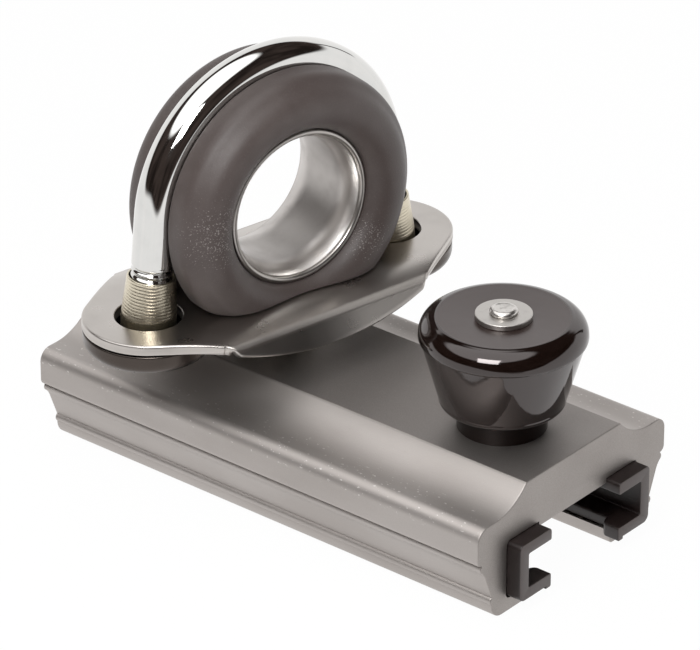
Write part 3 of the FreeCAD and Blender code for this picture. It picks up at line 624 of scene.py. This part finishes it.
def liner_piece(name, side):
    """C-channel that stands out past the body. Its lower arm stops behind the lip, but for a
    knuckle at each end: section = arm + share (knuckle - arm), where share rises from 0 to 1 along
    a quarter circle. Both sections are (y, z, corner radius)."""
    upper = [(18.95, 2.7, 1.5), (18.95, 14.3, 1.0), (9.9, 14.3, 0.7), (9.9, 11.9, 0.4),
             (16.4, 11.9, 0.3), (16.4, 5.0, 0.3)]
    arm = rounded(upper + [(11.9, 5.0, 0.4), (11.9, 2.7, 0.4), (12.4, 2.7, 0), (12.6, 2.7, 0)])
    knuckle = rounded(upper + [(9.9, 5.0, 0.4), (9.9, 2.2, 0.4), (11.3, 2.2, 0), (11.3, 2.7, 0)])
    knuckle_start, bulge = LINER_HALF_LENGTH - 4.2, 1.3
    bend = np.linspace(0, np.pi / 2, 8)[::-1]
    reach, insets = end_rounding(LINER_HALF_LENGTH, 0.2, 4)
    share = np.concatenate([np.ones(len(reach)), np.sin(bend)])
    reach = np.concatenate([reach, knuckle_start + bulge * (1 - np.cos(bend))])
    insets = np.concatenate([insets, np.zeros(len(bend))])
    rows = section_rows(reach, insets, [arm + part * (knuckle - arm) for part in share])
    return tube(name, rows * [1, side, 1], 28)


# Plunger stop

def knob_piece():
    """Knob turned from a tapered side, a parting edge, a rounded rim and a dished flat top."""
    stem, rim_z, brow = STEM_RADIUS + 0.02, KNOB_TOP_Z - 3.7, KNOB_TOP_Z + 0.24
    profile = outline((stem, KNOB_FOOT_Z), [
        (10.3, KNOB_FOOT_Z),
        ((11.15, KNOB_FOOT_Z + 0.3), (11.55, KNOB_FOOT_Z + 1.3)),
        (14.9, rim_z - 0.35),
        ((15.07, rim_z - 0.2), (15.24, rim_z - 0.05)),
        ((15.3, rim_z + 0.3), (15.28, rim_z + 0.7)),
        ((14.62, rim_z + 2.55), (12.75, brow - 0.16)),
        ((12.3, brow - 0.02), (11.75, brow - 0.02)),
        (5.3, KNOB_TOP_Z - 0.02),
        (stem, KNOB_TOP_Z - 0.02),
    ])
    return turned("knob_piece", profile, at_plunger, 192)


def washer_piece():
    """Flat washer with eased edges, those of its hole half as much."""
    bore, radius, ease = 2.41, 5.2, 0.15
    profile = rounded([
        (bore, KNOB_TOP_Z, ease / 2), (radius, KNOB_TOP_Z, ease),
        (radius, WASHER_TOP_Z, ease), (bore, WASHER_TOP_Z, ease / 2),
    ], 0.08)
    return turned("knob_washer_piece", profile, at_plunger)


def pin_piece():
    """Pin with a chamfered nose, a shoulder and a stem spread over the washer by riveting."""
    foot, radius, chamfer, rivet_top = 5.95, 4.75, 0.8, WASHER_TOP_Z + 0.98
    profile = outline((0, foot), [
        (radius - chamfer, foot), (radius, foot + chamfer), (radius, SHOULDER_Z - 0.25),
        ((radius - 0.07, SHOULDER_Z - 0.07), (radius - 0.25, SHOULDER_Z)),
        (STEM_RADIUS, SHOULDER_Z), (STEM_RADIUS, WASHER_TOP_Z),
        (STEM_RADIUS + 0.05, WASHER_TOP_Z + 0.02),
        ((2.58, WASHER_TOP_Z + 0.3), (2.45, WASHER_TOP_Z + 0.7)),
        ((2.2, rivet_top - 0.06), (1.6, rivet_top)),
        (0, rivet_top - 0.1),
    ], 0.08)
    return turned("pin_piece", profile, at_plunger, 96, False)


def collar_piece():
    """Collar on the body, with its skirt down to the ceiling and the pin's chamber inside."""
    chamber, stem, rim, foot = 4.8, STEM_RADIUS + 0.05, 8.25, 13.75
    profile = outline((chamber, foot), [
        (BORE_RADIUS, foot), (BORE_RADIUS, BODY_HEIGHT), (rim - 0.15, BODY_HEIGHT),
        ((rim - 0.03, BODY_HEIGHT + 0.03), (rim, BODY_HEIGHT + 0.15)),
        (rim, COLLAR_TOP_Z - 0.6),
        ((rim - 0.17, COLLAR_TOP_Z - 0.17), (rim - 0.6, COLLAR_TOP_Z)),
        (stem, COLLAR_TOP_Z), (stem, CHAMBER_TOP_Z), (chamber, CHAMBER_TOP_Z),
    ])
    return turned("collar_piece", profile, at_plunger)


def spring_piece():
    """Round wire on a helix: a circle across the wire, carried round at the coil's radius."""
    wire, coil, turns = 0.4, 4.15, 4.5
    foot, top = SHOULDER_Z + wire + 0.1, CHAMBER_TOP_Z - wire - 0.1
    share = np.linspace(0, 1, 217)
    turn = share * turns * 2 * np.pi
    outward = np.column_stack([np.cos(turn), np.sin(turn), np.zeros(len(turn))])
    centre = coil * outward
    centre[:, 2] = foot + share * (top - foot)
    along = np.gradient(centre, axis=0)
    along /= np.linalg.norm(along, axis=1)[:, None]
    across = np.cross(along, outward)
    around = np.linspace(0, 2 * np.pi, 20, endpoint=False)[None, :, None]
    spokes = np.cos(around) * outward[:, None] + np.sin(around) * across[:, None]
    return tube("spring_piece", at_plunger(centre[:, None] + wire * spokes))


# Saddle plate

def plate_section():
    """The folded sheet's top line as (distance along it, v, z, slope), from the middle outwards:
    flat, bent down to the crown's slope, straight, folded and straight again."""
    crown, fold, count = np.radians(15.0), np.radians(65.0), 13
    flat_run, crown_run, slope_run, fold_radius, lobe_run = 12.0, 5.0, 0.86, 1.5, 8.0
    slopes = np.concatenate([
        np.zeros(2), np.linspace(0, crown, count + 1)[1:], [crown],
        np.linspace(crown, fold, count + 1)[1:], [fold],
    ])
    lengths = np.concatenate([
        [0, flat_run],
        np.full(count, crown_run / np.sin(crown) * crown / count),
        [slope_run],
        np.full(count, fold_radius * (fold - crown) / count),
        [lobe_run],
    ])
    middle = (slopes + np.concatenate([[0], slopes[:-1]])) / 2
    v = np.cumsum(lengths * np.cos(middle))
    z = -np.cumsum(lengths * np.sin(middle))
    return np.cumsum(lengths), v, z, slopes


def flare_ends():
    """Places along the tabs' line where the straight edge leaves the tab and meets the fold."""
    touch_u = HOLE_U + TAB_RADIUS * np.sin(TAB_FLARE)
    return touch_u, touch_u - (FOLD_LIMIT - TAB_RADIUS * np.cos(TAB_FLARE)) / np.tan(TAB_FLARE)


def plate_half_width(u):
    """Reach of the sheet along its own surface at a place u along the tabs' line: the round tab,
    its straight flare, and the lobe, whose edge is an arc that falls from its ends to its middle."""
    along, v, z, _ = plate_section()
    u = np.abs(u)
    touch_u, reach = flare_ends()
    tab = np.sqrt(np.maximum(TAB_RADIUS ** 2 - (u - HOLE_U) ** 2, 0))
    straight = TAB_RADIUS * np.cos(TAB_FLARE) + (touch_u - u) * np.tan(TAB_FLARE)
    in_plan = np.interp(np.where(u > touch_u, tab, np.minimum(straight, FOLD_LIMIT)), v, along)
    fall, ends, blend = 5.9, 1.9, 2.8
    lobe_radius = (reach ** 2 + (fall - ends) ** 2) / (2 * (fall - ends))
    depth = fall - (lobe_radius - np.sqrt(np.maximum(lobe_radius ** 2 - u ** 2, 0)))
    in_lobe = np.interp(depth, -z, along)
    share = np.clip((reach - u) / blend, 0, 1)
    return in_plan + share ** 2 * (3 - 2 * share) * (in_lobe - in_plan)


def plate_outline():
    """Closed (u, reach along the sheet) outline, with closer points where the flare meets the lobe."""
    tip = np.linspace(0, np.pi / 2, 40)
    touch, reach = flare_ends()
    u_side = np.concatenate([
        HOLE_U + TAB_RADIUS * np.cos(tip[tip < np.pi / 2 - TAB_FLARE - 0.02]),
        np.linspace(touch, reach + 0.3, 50), np.linspace(reach + 0.2, reach - 2.2, 23),
        np.linspace(reach - 2.4, 0, 106),
    ])
    s_side = plate_half_width(u_side)
    s_side[0] = 0
    quarter = np.column_stack([u_side, s_side])
    right = np.concatenate([quarter[::-1], quarter[1:] * [1, -1]])
    return np.concatenate([right, (right * [-1, 1])[::-1][1:-1]])


def plate_piece():
    """Sheet of constant thickness: the outline drawn in towards a spine between the two holes,
    laid on the folded section, with a rounded rim and both faces offset along the normal."""
    loop = plate_outline()
    spine = np.column_stack([np.clip(loop[:, 0], -HOLE_U, HOLE_U), np.zeros(len(loop))])
    tangent = np.roll(loop, -1, 0) - np.roll(loop, 1, 0)
    tangent /= np.linalg.norm(tangent, axis=1)[:, None]
    outward = np.column_stack([tangent[:, 1], -tangent[:, 0]])
    outward *= np.sign((outward * (loop - spine)).sum(1) + 1e-9)[:, None]
    rim = 0.35
    faces = [spine + share * (loop - rim * outward - spine) for share in np.linspace(0, 1, 40)]
    rounds = [
        (loop - rim * (1 - np.sin(t)) * outward, rim * (1 - np.cos(t)))
        for t in np.linspace(0, np.pi / 2, 5)
    ]
    rows = [(flat, 0.0) for flat in faces] + rounds[1:]
    rows += [(flat, PLATE_THICKNESS - depth) for flat, depth in rounds[::-1]]
    rows += [(flat, PLATE_THICKNESS) for flat in faces[-2::-1]]
    along, v, z, slope = plate_section()
    points = []
    for flat, depth in rows:
        s = np.abs(flat[:, 1])
        a = np.interp(s, along, slope)
        out = np.interp(s, along, v) - depth * np.sin(a)
        up = np.interp(s, along, z) - depth * np.cos(a)
        points.append(np.column_stack([np.sign(flat[:, 1]) * out, flat[:, 0], PLATE_TOP_Z + up]))
    sheet = solid("saddle_plate_piece", on_fairlead(np.array(points), SWIVEL_TURN),
                  grid_faces(len(rows), len(loop), False, True))
    low, high, radius, mouth, shank, sink, sink_z = 30, 40, 6.25, 6.42, 5.05, 7.0, 35.0
    hole = np.array([
        (0, low), (radius, low), (radius, PLATE_TOP_Z - PLATE_THICKNESS),
        (radius, PLATE_TOP_Z - 0.12), (mouth, PLATE_TOP_Z + 0.05), (mouth, high), (0, high),
    ])
    pivot = np.array([
        (0, low), (shank, low), (shank, sink_z), (sink, sink_z + sink - shank), (sink, high), (0, high),
    ])
    cutters = [turned("hole", hole, over_tab(side), closed=False) for side in (-1, 1)]
    return carve(sheet, *cutters, turned("hole", pivot, at_pivot, closed=False))


# Bow and nuts

def bow_leg():
    """The straight length of a leg of the bow, from the plate's top to the arc, and the angle by
    which it leans in so that it is tangent to the arc."""
    height = RING_CENTRE_Z - PLATE_TOP_Z
    reach = np.hypot(LEG_U, height)
    length = np.sqrt(reach ** 2 - BOW_RADIUS ** 2)
    return length, np.pi / 2 - (np.arctan2(height, LEG_U) + np.arcsin(BOW_RADIUS / reach))


def bow_piece():
    """Rod round a leg, an arc and a leg. Its radius drops along the threads by
    0.04 + depth (1.25 saw - 0.12), with the brackets kept between 0 and 1. The saw is a triangle
    wave from 0 to 1 that runs once per pitch of height and once per turn of angle."""
    length, lean = bow_leg()
    foot, thread_top, pitch, depth, sides = -4.2, 10.2, 1.25, 0.42, 72
    legs_s = np.concatenate([
        np.arange(foot, thread_top + 0.6, 0.11), np.linspace(thread_top + 0.7, length, 10)
    ])
    arc_a = np.linspace(-lean, np.pi + lean, 160)[1:-1]
    half_leg = np.column_stack([
        LEG_U - legs_s * np.sin(lean), PLATE_TOP_Z + legs_s * np.cos(lean),
    ])
    arc = np.column_stack([BOW_RADIUS * np.cos(arc_a), RING_CENTRE_Z + BOW_RADIUS * np.sin(arc_a)])
    line = np.concatenate([half_leg, arc, (half_leg * [-1, 1])[::-1]])
    normal_a = np.concatenate([np.full(len(legs_s), lean), arc_a, np.full(len(legs_s), np.pi - lean)])
    outward = np.column_stack([np.cos(normal_a), np.sin(normal_a)])
    past_threads = np.full(len(arc), 99.0)
    along = np.concatenate([legs_s, past_threads, legs_s[::-1]])
    around = 2 * np.pi * np.arange(sides) / sides
    phase = (along[:, None] / pitch + around / (2 * np.pi)) % 1
    saw = 1 - np.abs(2 * phase - 1)
    fade = np.clip((thread_top - along) / 1.2, 0, 1)[:, None]
    radius = ROD_RADIUS - depth * np.clip(1.25 * saw - 0.12, 0, 1) * fade - 0.04 * fade
    x = radius * np.sin(around)
    yz = line[:, None] + (radius * np.cos(around))[..., None] * outward[:, None]
    points = np.concatenate([x[..., None], yz], -1)
    return tube("bow_piece", on_fairlead(points, BOW_TURN), 60)


def along_leg(side):
    """Places points about Z on a leg's line, from the height of the plate's top."""
    lean = side * np.degrees(bow_leg()[1])
    return lambda points: on_fairlead(
        rotated(points, lean, 0) + [0, side * LEG_U, PLATE_TOP_Z], BOW_TURN
    )


def nut_piece(name, side):
    """Tapered sleeve nut with shallow turned grooves and a bevelled mouth."""
    bore, radius, foot, top, narrowing = 3.92, 5.1, -4.7, 7.5, 0.6
    groove_depth, groove_pitch = 0.05, 0.62
    z = np.linspace(0.3, top - 0.3, 90)
    grooves = groove_depth * np.clip(np.sin(2 * np.pi * z / groove_pitch), 0, 1) ** 2
    taper = np.column_stack([radius - narrowing * z / top - grooves, z])
    profile = np.concatenate([
        outline((bore, foot), [(radius - 0.1, foot), (radius, foot + 0.15), (radius, 0.1)]),
        taper,
        outline((4.52, top - 0.2), [
            ((4.48, top - 0.06), (4.34, top)), (bore + 0.23, top), (bore, top - 0.3),
        ]),
    ])
    return turned(name, profile, along_leg(side))


def disc_piece(name, side):
    """Polished disc under a tab: a rim, a quarter-round edge, a slightly crowned foot with a dimple
    and a recess that takes the nut."""
    top, rim, radius, edge, q = -2.3, -3.9, 12.1, 2.6, np.sqrt(0.5)
    foot, recess, seat = rim - 3.1, 6.5, -5.3
    profile = outline((0, foot + 1), [
        (1, foot + 1), (1.01, foot),
        ((4.75, foot + 0.12), (radius - edge, foot + 0.5)),
        ((radius - edge + edge * q, rim - edge * q), (radius, rim)),
        (radius, top - 0.3), ((radius - 0.09, top - 0.09), (radius - 0.3, top)),
        (recess, top), (recess, seat), (0, seat),
    ])
    return turned(name, profile, over_tab(side, PLATE_TOP_Z), 160, False)


# Ring and thimble

def flared(radius, distance):
    """Radius of a surface that runs straight for 4 mm each way, then flares out along an arc."""
    straight, run, rise = 4.0, 4.9, 1.3
    curve = (run ** 2 + rise ** 2) / (2 * rise)
    reach = np.clip(np.abs(distance) - straight, 0, None)
    return radius + curve - np.sqrt(curve ** 2 - reach ** 2)


def thimble_piece():
    """Turned liner: straight throat, flared lips and a round edge between the two faces."""
    half_width, throat, wall = 8.9, 12.5, 1.3
    lip, lip_round = 14.45, 0.65
    d = np.linspace(-half_width, half_width, 61)
    inner = np.column_stack([flared(throat, d), d])
    outer = np.column_stack([flared(throat + wall, d[::-1]), d[::-1]])
    t = np.linspace(0, np.pi, 9)[1:-1]
    edge = np.column_stack([lip - lip_round * np.cos(t), half_width + lip_round * np.sin(t)])
    profile = np.concatenate([inner, edge, outer, edge[::-1] * [1, -1]])
    return turned("thimble_piece", profile, about_ring, 192)


def ring_reach(angle):
    """Outer radius of the ring at an angle from straight up: round, with a flat foot that its
    corners meet in arcs."""
    height, corner = 17.0, 6.0
    centre_z = corner - height
    centre_y = np.sqrt((RING_RADIUS - corner) ** 2 - centre_z ** 2)
    a = np.abs((angle + np.pi) % (2 * np.pi) - np.pi)
    y, z = np.sin(a), np.cos(a)
    across = centre_y * y + centre_z * z
    inside = np.maximum(across ** 2 + corner ** 2 - centre_y ** 2 - centre_z ** 2, 0)
    corner_start = np.arctan2(centre_y, centre_z)
    corner_end = np.arctan2(centre_y, -height)
    flat = height / np.maximum(-z, TINY)
    return np.where(
        a < corner_start, RING_RADIUS, np.where(a < corner_end, across + np.sqrt(inside), flat)
    )


def cut_cheek(cheek, limit, reach, count=100):
    """The cheek's (r, d) line with all that lies beyond a radius laid flat at that radius, no
    wider than where it is cut; then spaced evenly and averaged over a reach, which rolls the
    edge of the cut: p(s) = sum of w(t) p(s + t), where w = exp(-t^2 / 2 reach^2)."""
    r, d = cheek.T
    width = np.where(r > limit, np.minimum(d, np.interp(limit, r, d)), d)
    line = np.column_stack([np.minimum(r, limit), width])
    lengths = np.concatenate([[0], np.cumsum(np.linalg.norm(np.diff(line, axis=0), axis=1))])
    even = np.linspace(0, lengths[-1], count)
    points = np.column_stack([np.interp(even, lengths, line[:, k]) for k in (0, 1)])
    sigma = reach * (count - 1) / lengths[-1]
    half = int(2.5 * sigma)
    weight = np.exp(-0.5 * (np.arange(-half, half + 1) / sigma) ** 2)
    weight /= weight.sum()
    padded = np.pad(points, ((half, half), (0, 0)), mode="reflect", reflect_type="odd")
    return np.column_stack([np.convolve(padded[:, k], weight, "valid") for k in (0, 1)])


def ring_piece():
    """Round-cheeked profile with the bow's groove, carried round the ring's axis and cut at each
    angle by the ring's outline, so that the flat foot takes the full width of its cheeks."""
    throat, half_width, foot_roll, count = 13.9, 8.4, 0.7, 240
    groove = ROD_RADIUS + 0.1
    d = np.linspace(0, half_width, 24)
    inside = np.column_stack([flared(throat, d), d])
    cheek = outline((float(flared(throat, half_width)), half_width), [
        ((19.3, 12.35), (24.0, 9.7)),
        ((25.3, 8.5), (RING_RADIUS, 6.9)),
        (RING_RADIUS, groove + 0.45),
    ], 0.2)
    channel = outline((RING_RADIUS, groove + 0.45), [
        ((RING_RADIUS - 0.13, groove + 0.13), (RING_RADIUS - 0.45, groove)),
        (BOW_RADIUS - 0.6, groove),
        ((BOW_RADIUS - groove * 0.72, groove * 0.7), (BOW_RADIUS - groove, 0)),
    ], 0.3)[1:]
    angle = 2 * np.pi * np.arange(count) / count
    rows = []
    for limit in ring_reach(angle):
        cut_channel = np.column_stack([np.minimum(channel[:, 0], limit), channel[:, 1]])
        upper = np.concatenate([inside, cut_cheek(cheek, limit, foot_roll)[1:], cut_channel])
        rows.append(np.concatenate([upper, (upper[1:-1] * [1, -1])[::-1]]))
    r, distance = np.moveaxis(np.array(rows), -1, 0)
    points = np.stack([distance, r * np.sin(angle)[:, None], r * np.cos(angle)[:, None]], -1)
    placed = on_fairlead(points + [0, 0, RING_CENTRE_Z], BOW_TURN)
    return solid("ring_piece", placed, grid_faces(count, r.shape[1], True, True), 50)


# Put together

anodised = anodised_finish()
liner_plastic = liner_finish()
gloss_black = knob_finish("gloss black", 0.8)
collar_black = knob_finish("black collar", 0.25)
plate_steel = polished_finish(
    "polished plate", (0.49, 0.463, 0.437), 0.26, shade_height=PLATE_TOP_Z - 2.3
)
bow_steel = polished_finish("mirror bow", (0.64, 0.64, 0.625), 0.03, 0.0006)
# Painted shade: the discs under the tabs take a polished steel colour darkened far below stainless.
shaded_disc_steel = polished_finish("polished disc", (0.075, 0.063, 0.056), 0.25)
nut_steel = turned_steel_finish("turned nut", (0.64, 0.585, 0.465), 0.22, 0.25, 0.008)
pivot_steel = turned_steel_finish("turned pivot", (0.55, 0.54, 0.52), 0.25, 0.3)
washer_steel = turned_steel_finish("washer steel", (0.55, 0.53, 0.505), 0.3, 0.3)
spring_steel = polished_finish("spring wire", (0.5, 0.49, 0.48), 0.2)
rivet_steel = hammered_finish()
ring_plastic = moulded_ring_finish()
thimble_steel = thimble_finish()
bearing_plastic = bearing_finish()

dress(slide_body_piece(), "slide", anodised, "slide_body")
dress(liner_piece("liner_left_piece", -1), "slide", liner_plastic, "liner_left")
dress(liner_piece("liner_right_piece", 1), "slide", liner_plastic, "liner_right")
dress(collar_piece(), "slide", collar_black, "plunger_housing")
dress(knob_piece(), "plunger", gloss_black, "plunger_knob")
dress(washer_piece(), "plunger", washer_steel, "knob_washer")
dress(pin_piece(), "plunger", rivet_steel, "plunger_pin")
spring = dress(spring_piece(), "slide", spring_steel, "plunger_spring")
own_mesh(spring)
dress(plate_piece(), "fairlead", plate_steel, "saddle_plate")
dress(bow_piece(), "fairlead", bow_steel, "bow")
dress(ring_piece(), "fairlead", ring_plastic, "fairlead_ring")
dress(thimble_piece(), "fairlead", thimble_steel, "thimble")
for side, word in ((-1, "left"), (1, "right")):
    dress(nut_piece("nut_piece_" + word, side), "fairlead", nut_steel, "bow_nut_" + word)
    dress(disc_piece("disc_piece_" + word, side), "fairlead", shaded_disc_steel, "seat_disc_" + word)

# The hidden solids that the scene shows as they are
for node, material in (
    ("pivot_pin", pivot_steel), ("swivel_spacer", pivot_steel),
    ("swivel_washer_lower", bearing_plastic), ("swivel_washer_upper", bearing_plastic),
    ("pivot_nut", pivot_steel), ("pivot_nut_washer", pivot_steel),
):
    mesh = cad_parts[node].data
    mesh.materials.clear()
    mesh.materials.append(material)


# Floor, light and camera

PANEL_SIDE = (-0.1, -0.25, 0.95)
BACKDROP_GLOW, PANEL_GLOW = 1.1, 1.9
ROOM_COLOUR = (0.047, 0.035, 0.031)


def socket_setter(links):
    """A function that fills a node's inputs in order, each with a value or with a link."""
    def filled(node, *values):
        for socket, value in zip(node.inputs, values):
            if isinstance(value, bpy.types.NodeSocket):
                links.new(value, socket)
            else:
                socket.default_value = value
        return node
    return filled


def stage_floor():
    """Wide white floor: it shows white to the camera and keeps a faint shadow of the object.
    Mirrored rays pass through it to the backdrop, whose near edge ends on it."""
    mesh = bpy.data.meshes.new("floor")
    w, shown = 6.0, 0.975
    mesh.from_pydata([(-w, -w, 0), (w, -w, 0), (w, w, 0), (-w, w, 0)], [], [(0, 1, 2, 3)])
    floor = in_scene("floor", mesh)
    material = bpy.data.materials.new("white floor")
    material.use_nodes = True
    nodes, links = material.node_tree.nodes, material.node_tree.links
    filled = socket_setter(links)
    shader = nodes["Principled BSDF"]
    shader.inputs["Base Color"].default_value = (0.9, 0.9, 0.9, 1)
    shader.inputs["Roughness"].default_value = 0.9
    shader.inputs["Specular IOR Level"].default_value = 0.1
    glow = filled(nodes.new("ShaderNodeEmission"), (1, 1, 1, 1))
    rays = nodes.new("ShaderNodeLightPath").outputs
    seen = nodes.new("ShaderNodeMath")
    seen.operation = "MULTIPLY"
    filled(seen, rays["Is Camera Ray"], shown)

    def mixed(share, *shaders):
        return filled(nodes.new("ShaderNodeMixShader"), share, *(node.outputs[0] for node in shaders))

    white = mixed(seen.outputs[0], shader, glow)
    clear = mixed(rays["Is Glossy Ray"], white, nodes.new("ShaderNodeBsdfTransparent"))
    links.new(clear.outputs[0], nodes["Material Output"].inputs["Surface"])
    mesh.materials.append(material)


def studio_world():
    """Studio as the metal sees it: a white backdrop whose upper edge climbs on the far side and
    dips on the near side, with a narrow gap far behind the part, a warm dark room above it and
    one broad soft panel overhead. The backdrop's edge:
    z = 0.23 - 0.28 x + 0.43 y - 0.08 x y + 0.14 y (3 x^2 - y^2)."""
    world = bpy.data.worlds.new("studio")
    bpy.context.scene.world = world
    world.use_nodes = True
    nodes, links = world.node_tree.nodes, world.node_tree.links
    nodes.clear()
    filled = socket_setter(links)

    def math(operation, *values):
        node = nodes.new("ShaderNodeMath")
        node.operation = operation
        return filled(node, *values).outputs[0]

    def times(a, b, plus=0.0):
        return math("MULTIPLY_ADD", a, b, plus)

    def step(value, low, high):
        node = nodes.new("ShaderNodeMapRange")
        node.interpolation_type = "SMOOTHSTEP"
        return filled(node, value, low, high).outputs["Result"]

    where = nodes.new("ShaderNodeTexCoord").outputs["Generated"]
    x, y, z = filled(nodes.new("ShaderNodeSeparateXYZ"), where).outputs
    wave = times(y, math("SUBTRACT", times(times(x, x), 3.0), times(y, y)))
    edge = times(y, 0.43, times(x, -0.28, 0.23))
    edge = times(wave, 0.14, times(times(x, y), -0.08, edge))
    backdrop = step(math("SUBTRACT", edge, z), -0.05, 0.05)
    aside = math("ABSOLUTE", times(y, -0.07, x))
    aside = math("MAXIMUM", aside, times(y, -1.0))
    aside = math("MAXIMUM", aside, times(z, -0.6, 0.12))
    backdrop = times(backdrop, step(aside, 0.015, 0.06))
    dot = nodes.new("ShaderNodeVectorMath")
    dot.operation = "DOT_PRODUCT"
    filled(dot, where, Vector(PANEL_SIDE).normalized())
    panel = step(dot.outputs["Value"], 0.76, 0.83)
    glow = times(panel, PANEL_GLOW, times(backdrop, BACKDROP_GLOW))
    camera_ray = nodes.new("ShaderNodeLightPath").outputs["Is Camera Ray"]
    unseen = math("SUBTRACT", 1.0, camera_ray)
    light = nodes.new("ShaderNodeBackground")
    filled(light, (1, 1, 1, 1), times(glow, unseen, camera_ray))
    clouds = filled(nodes.new("ShaderNodeTexNoise"), where)
    clouds.inputs["Scale"].default_value = 2.5
    gloom = times(step(clouds.outputs["Fac"], 0.35, 0.65), 0.9, 0.4)
    room = nodes.new("ShaderNodeBackground")
    filled(room, (*ROOM_COLOUR, 1), times(unseen, gloom))
    both = filled(nodes.new("ShaderNodeAddShader"), light.outputs[0], room.outputs[0])
    links.new(both.outputs[0], nodes.new("ShaderNodeOutputWorld").inputs[0])


def aimed(name, data, place, aim):
    """A lamp or camera at a place in metres that looks at a point."""
    thing = in_scene(name, data)
    thing.location = place
    thing.rotation_mode = "QUATERNION"
    thing.rotation_quaternion = (Vector(aim) - Vector(place)).to_track_quat("-Z", "Y")
    return thing


def near_lamp():
    """Small square area light to the left of the camera, mirrored in the knob's rim."""
    light = bpy.data.lights.new("near lamp", "AREA")
    light.shape = "RECTANGLE"
    light.size = light.size_y = 0.08
    light.energy = 0.25
    aimed("near lamp", light, (0.073, -0.135, 0.174), (0.01, 0, 0.04))


def photo_camera():
    """Long lens at the photograph's azimuth and elevation."""
    azimuth, elevation = np.radians(39.66), np.radians(28.57)
    target, distance = Vector((-6.04, 7.58, 26.63)) * MM, 0.97244
    back = Vector((
        np.sin(azimuth) * np.cos(elevation), -np.cos(azimuth) * np.cos(elevation), np.sin(elevation)
    ))
    data = bpy.data.cameras.new("camera")
    data.lens, data.sensor_width = 270.8, 36.0
    data.clip_start, data.clip_end = 0.05, 50.0
    bpy.context.scene.camera = aimed("camera", data, target + back * distance, target)


stage_floor()
studio_world()
near_lamp()
photo_camera()
bpy.context.scene.view_settings.view_transform = "Standard"
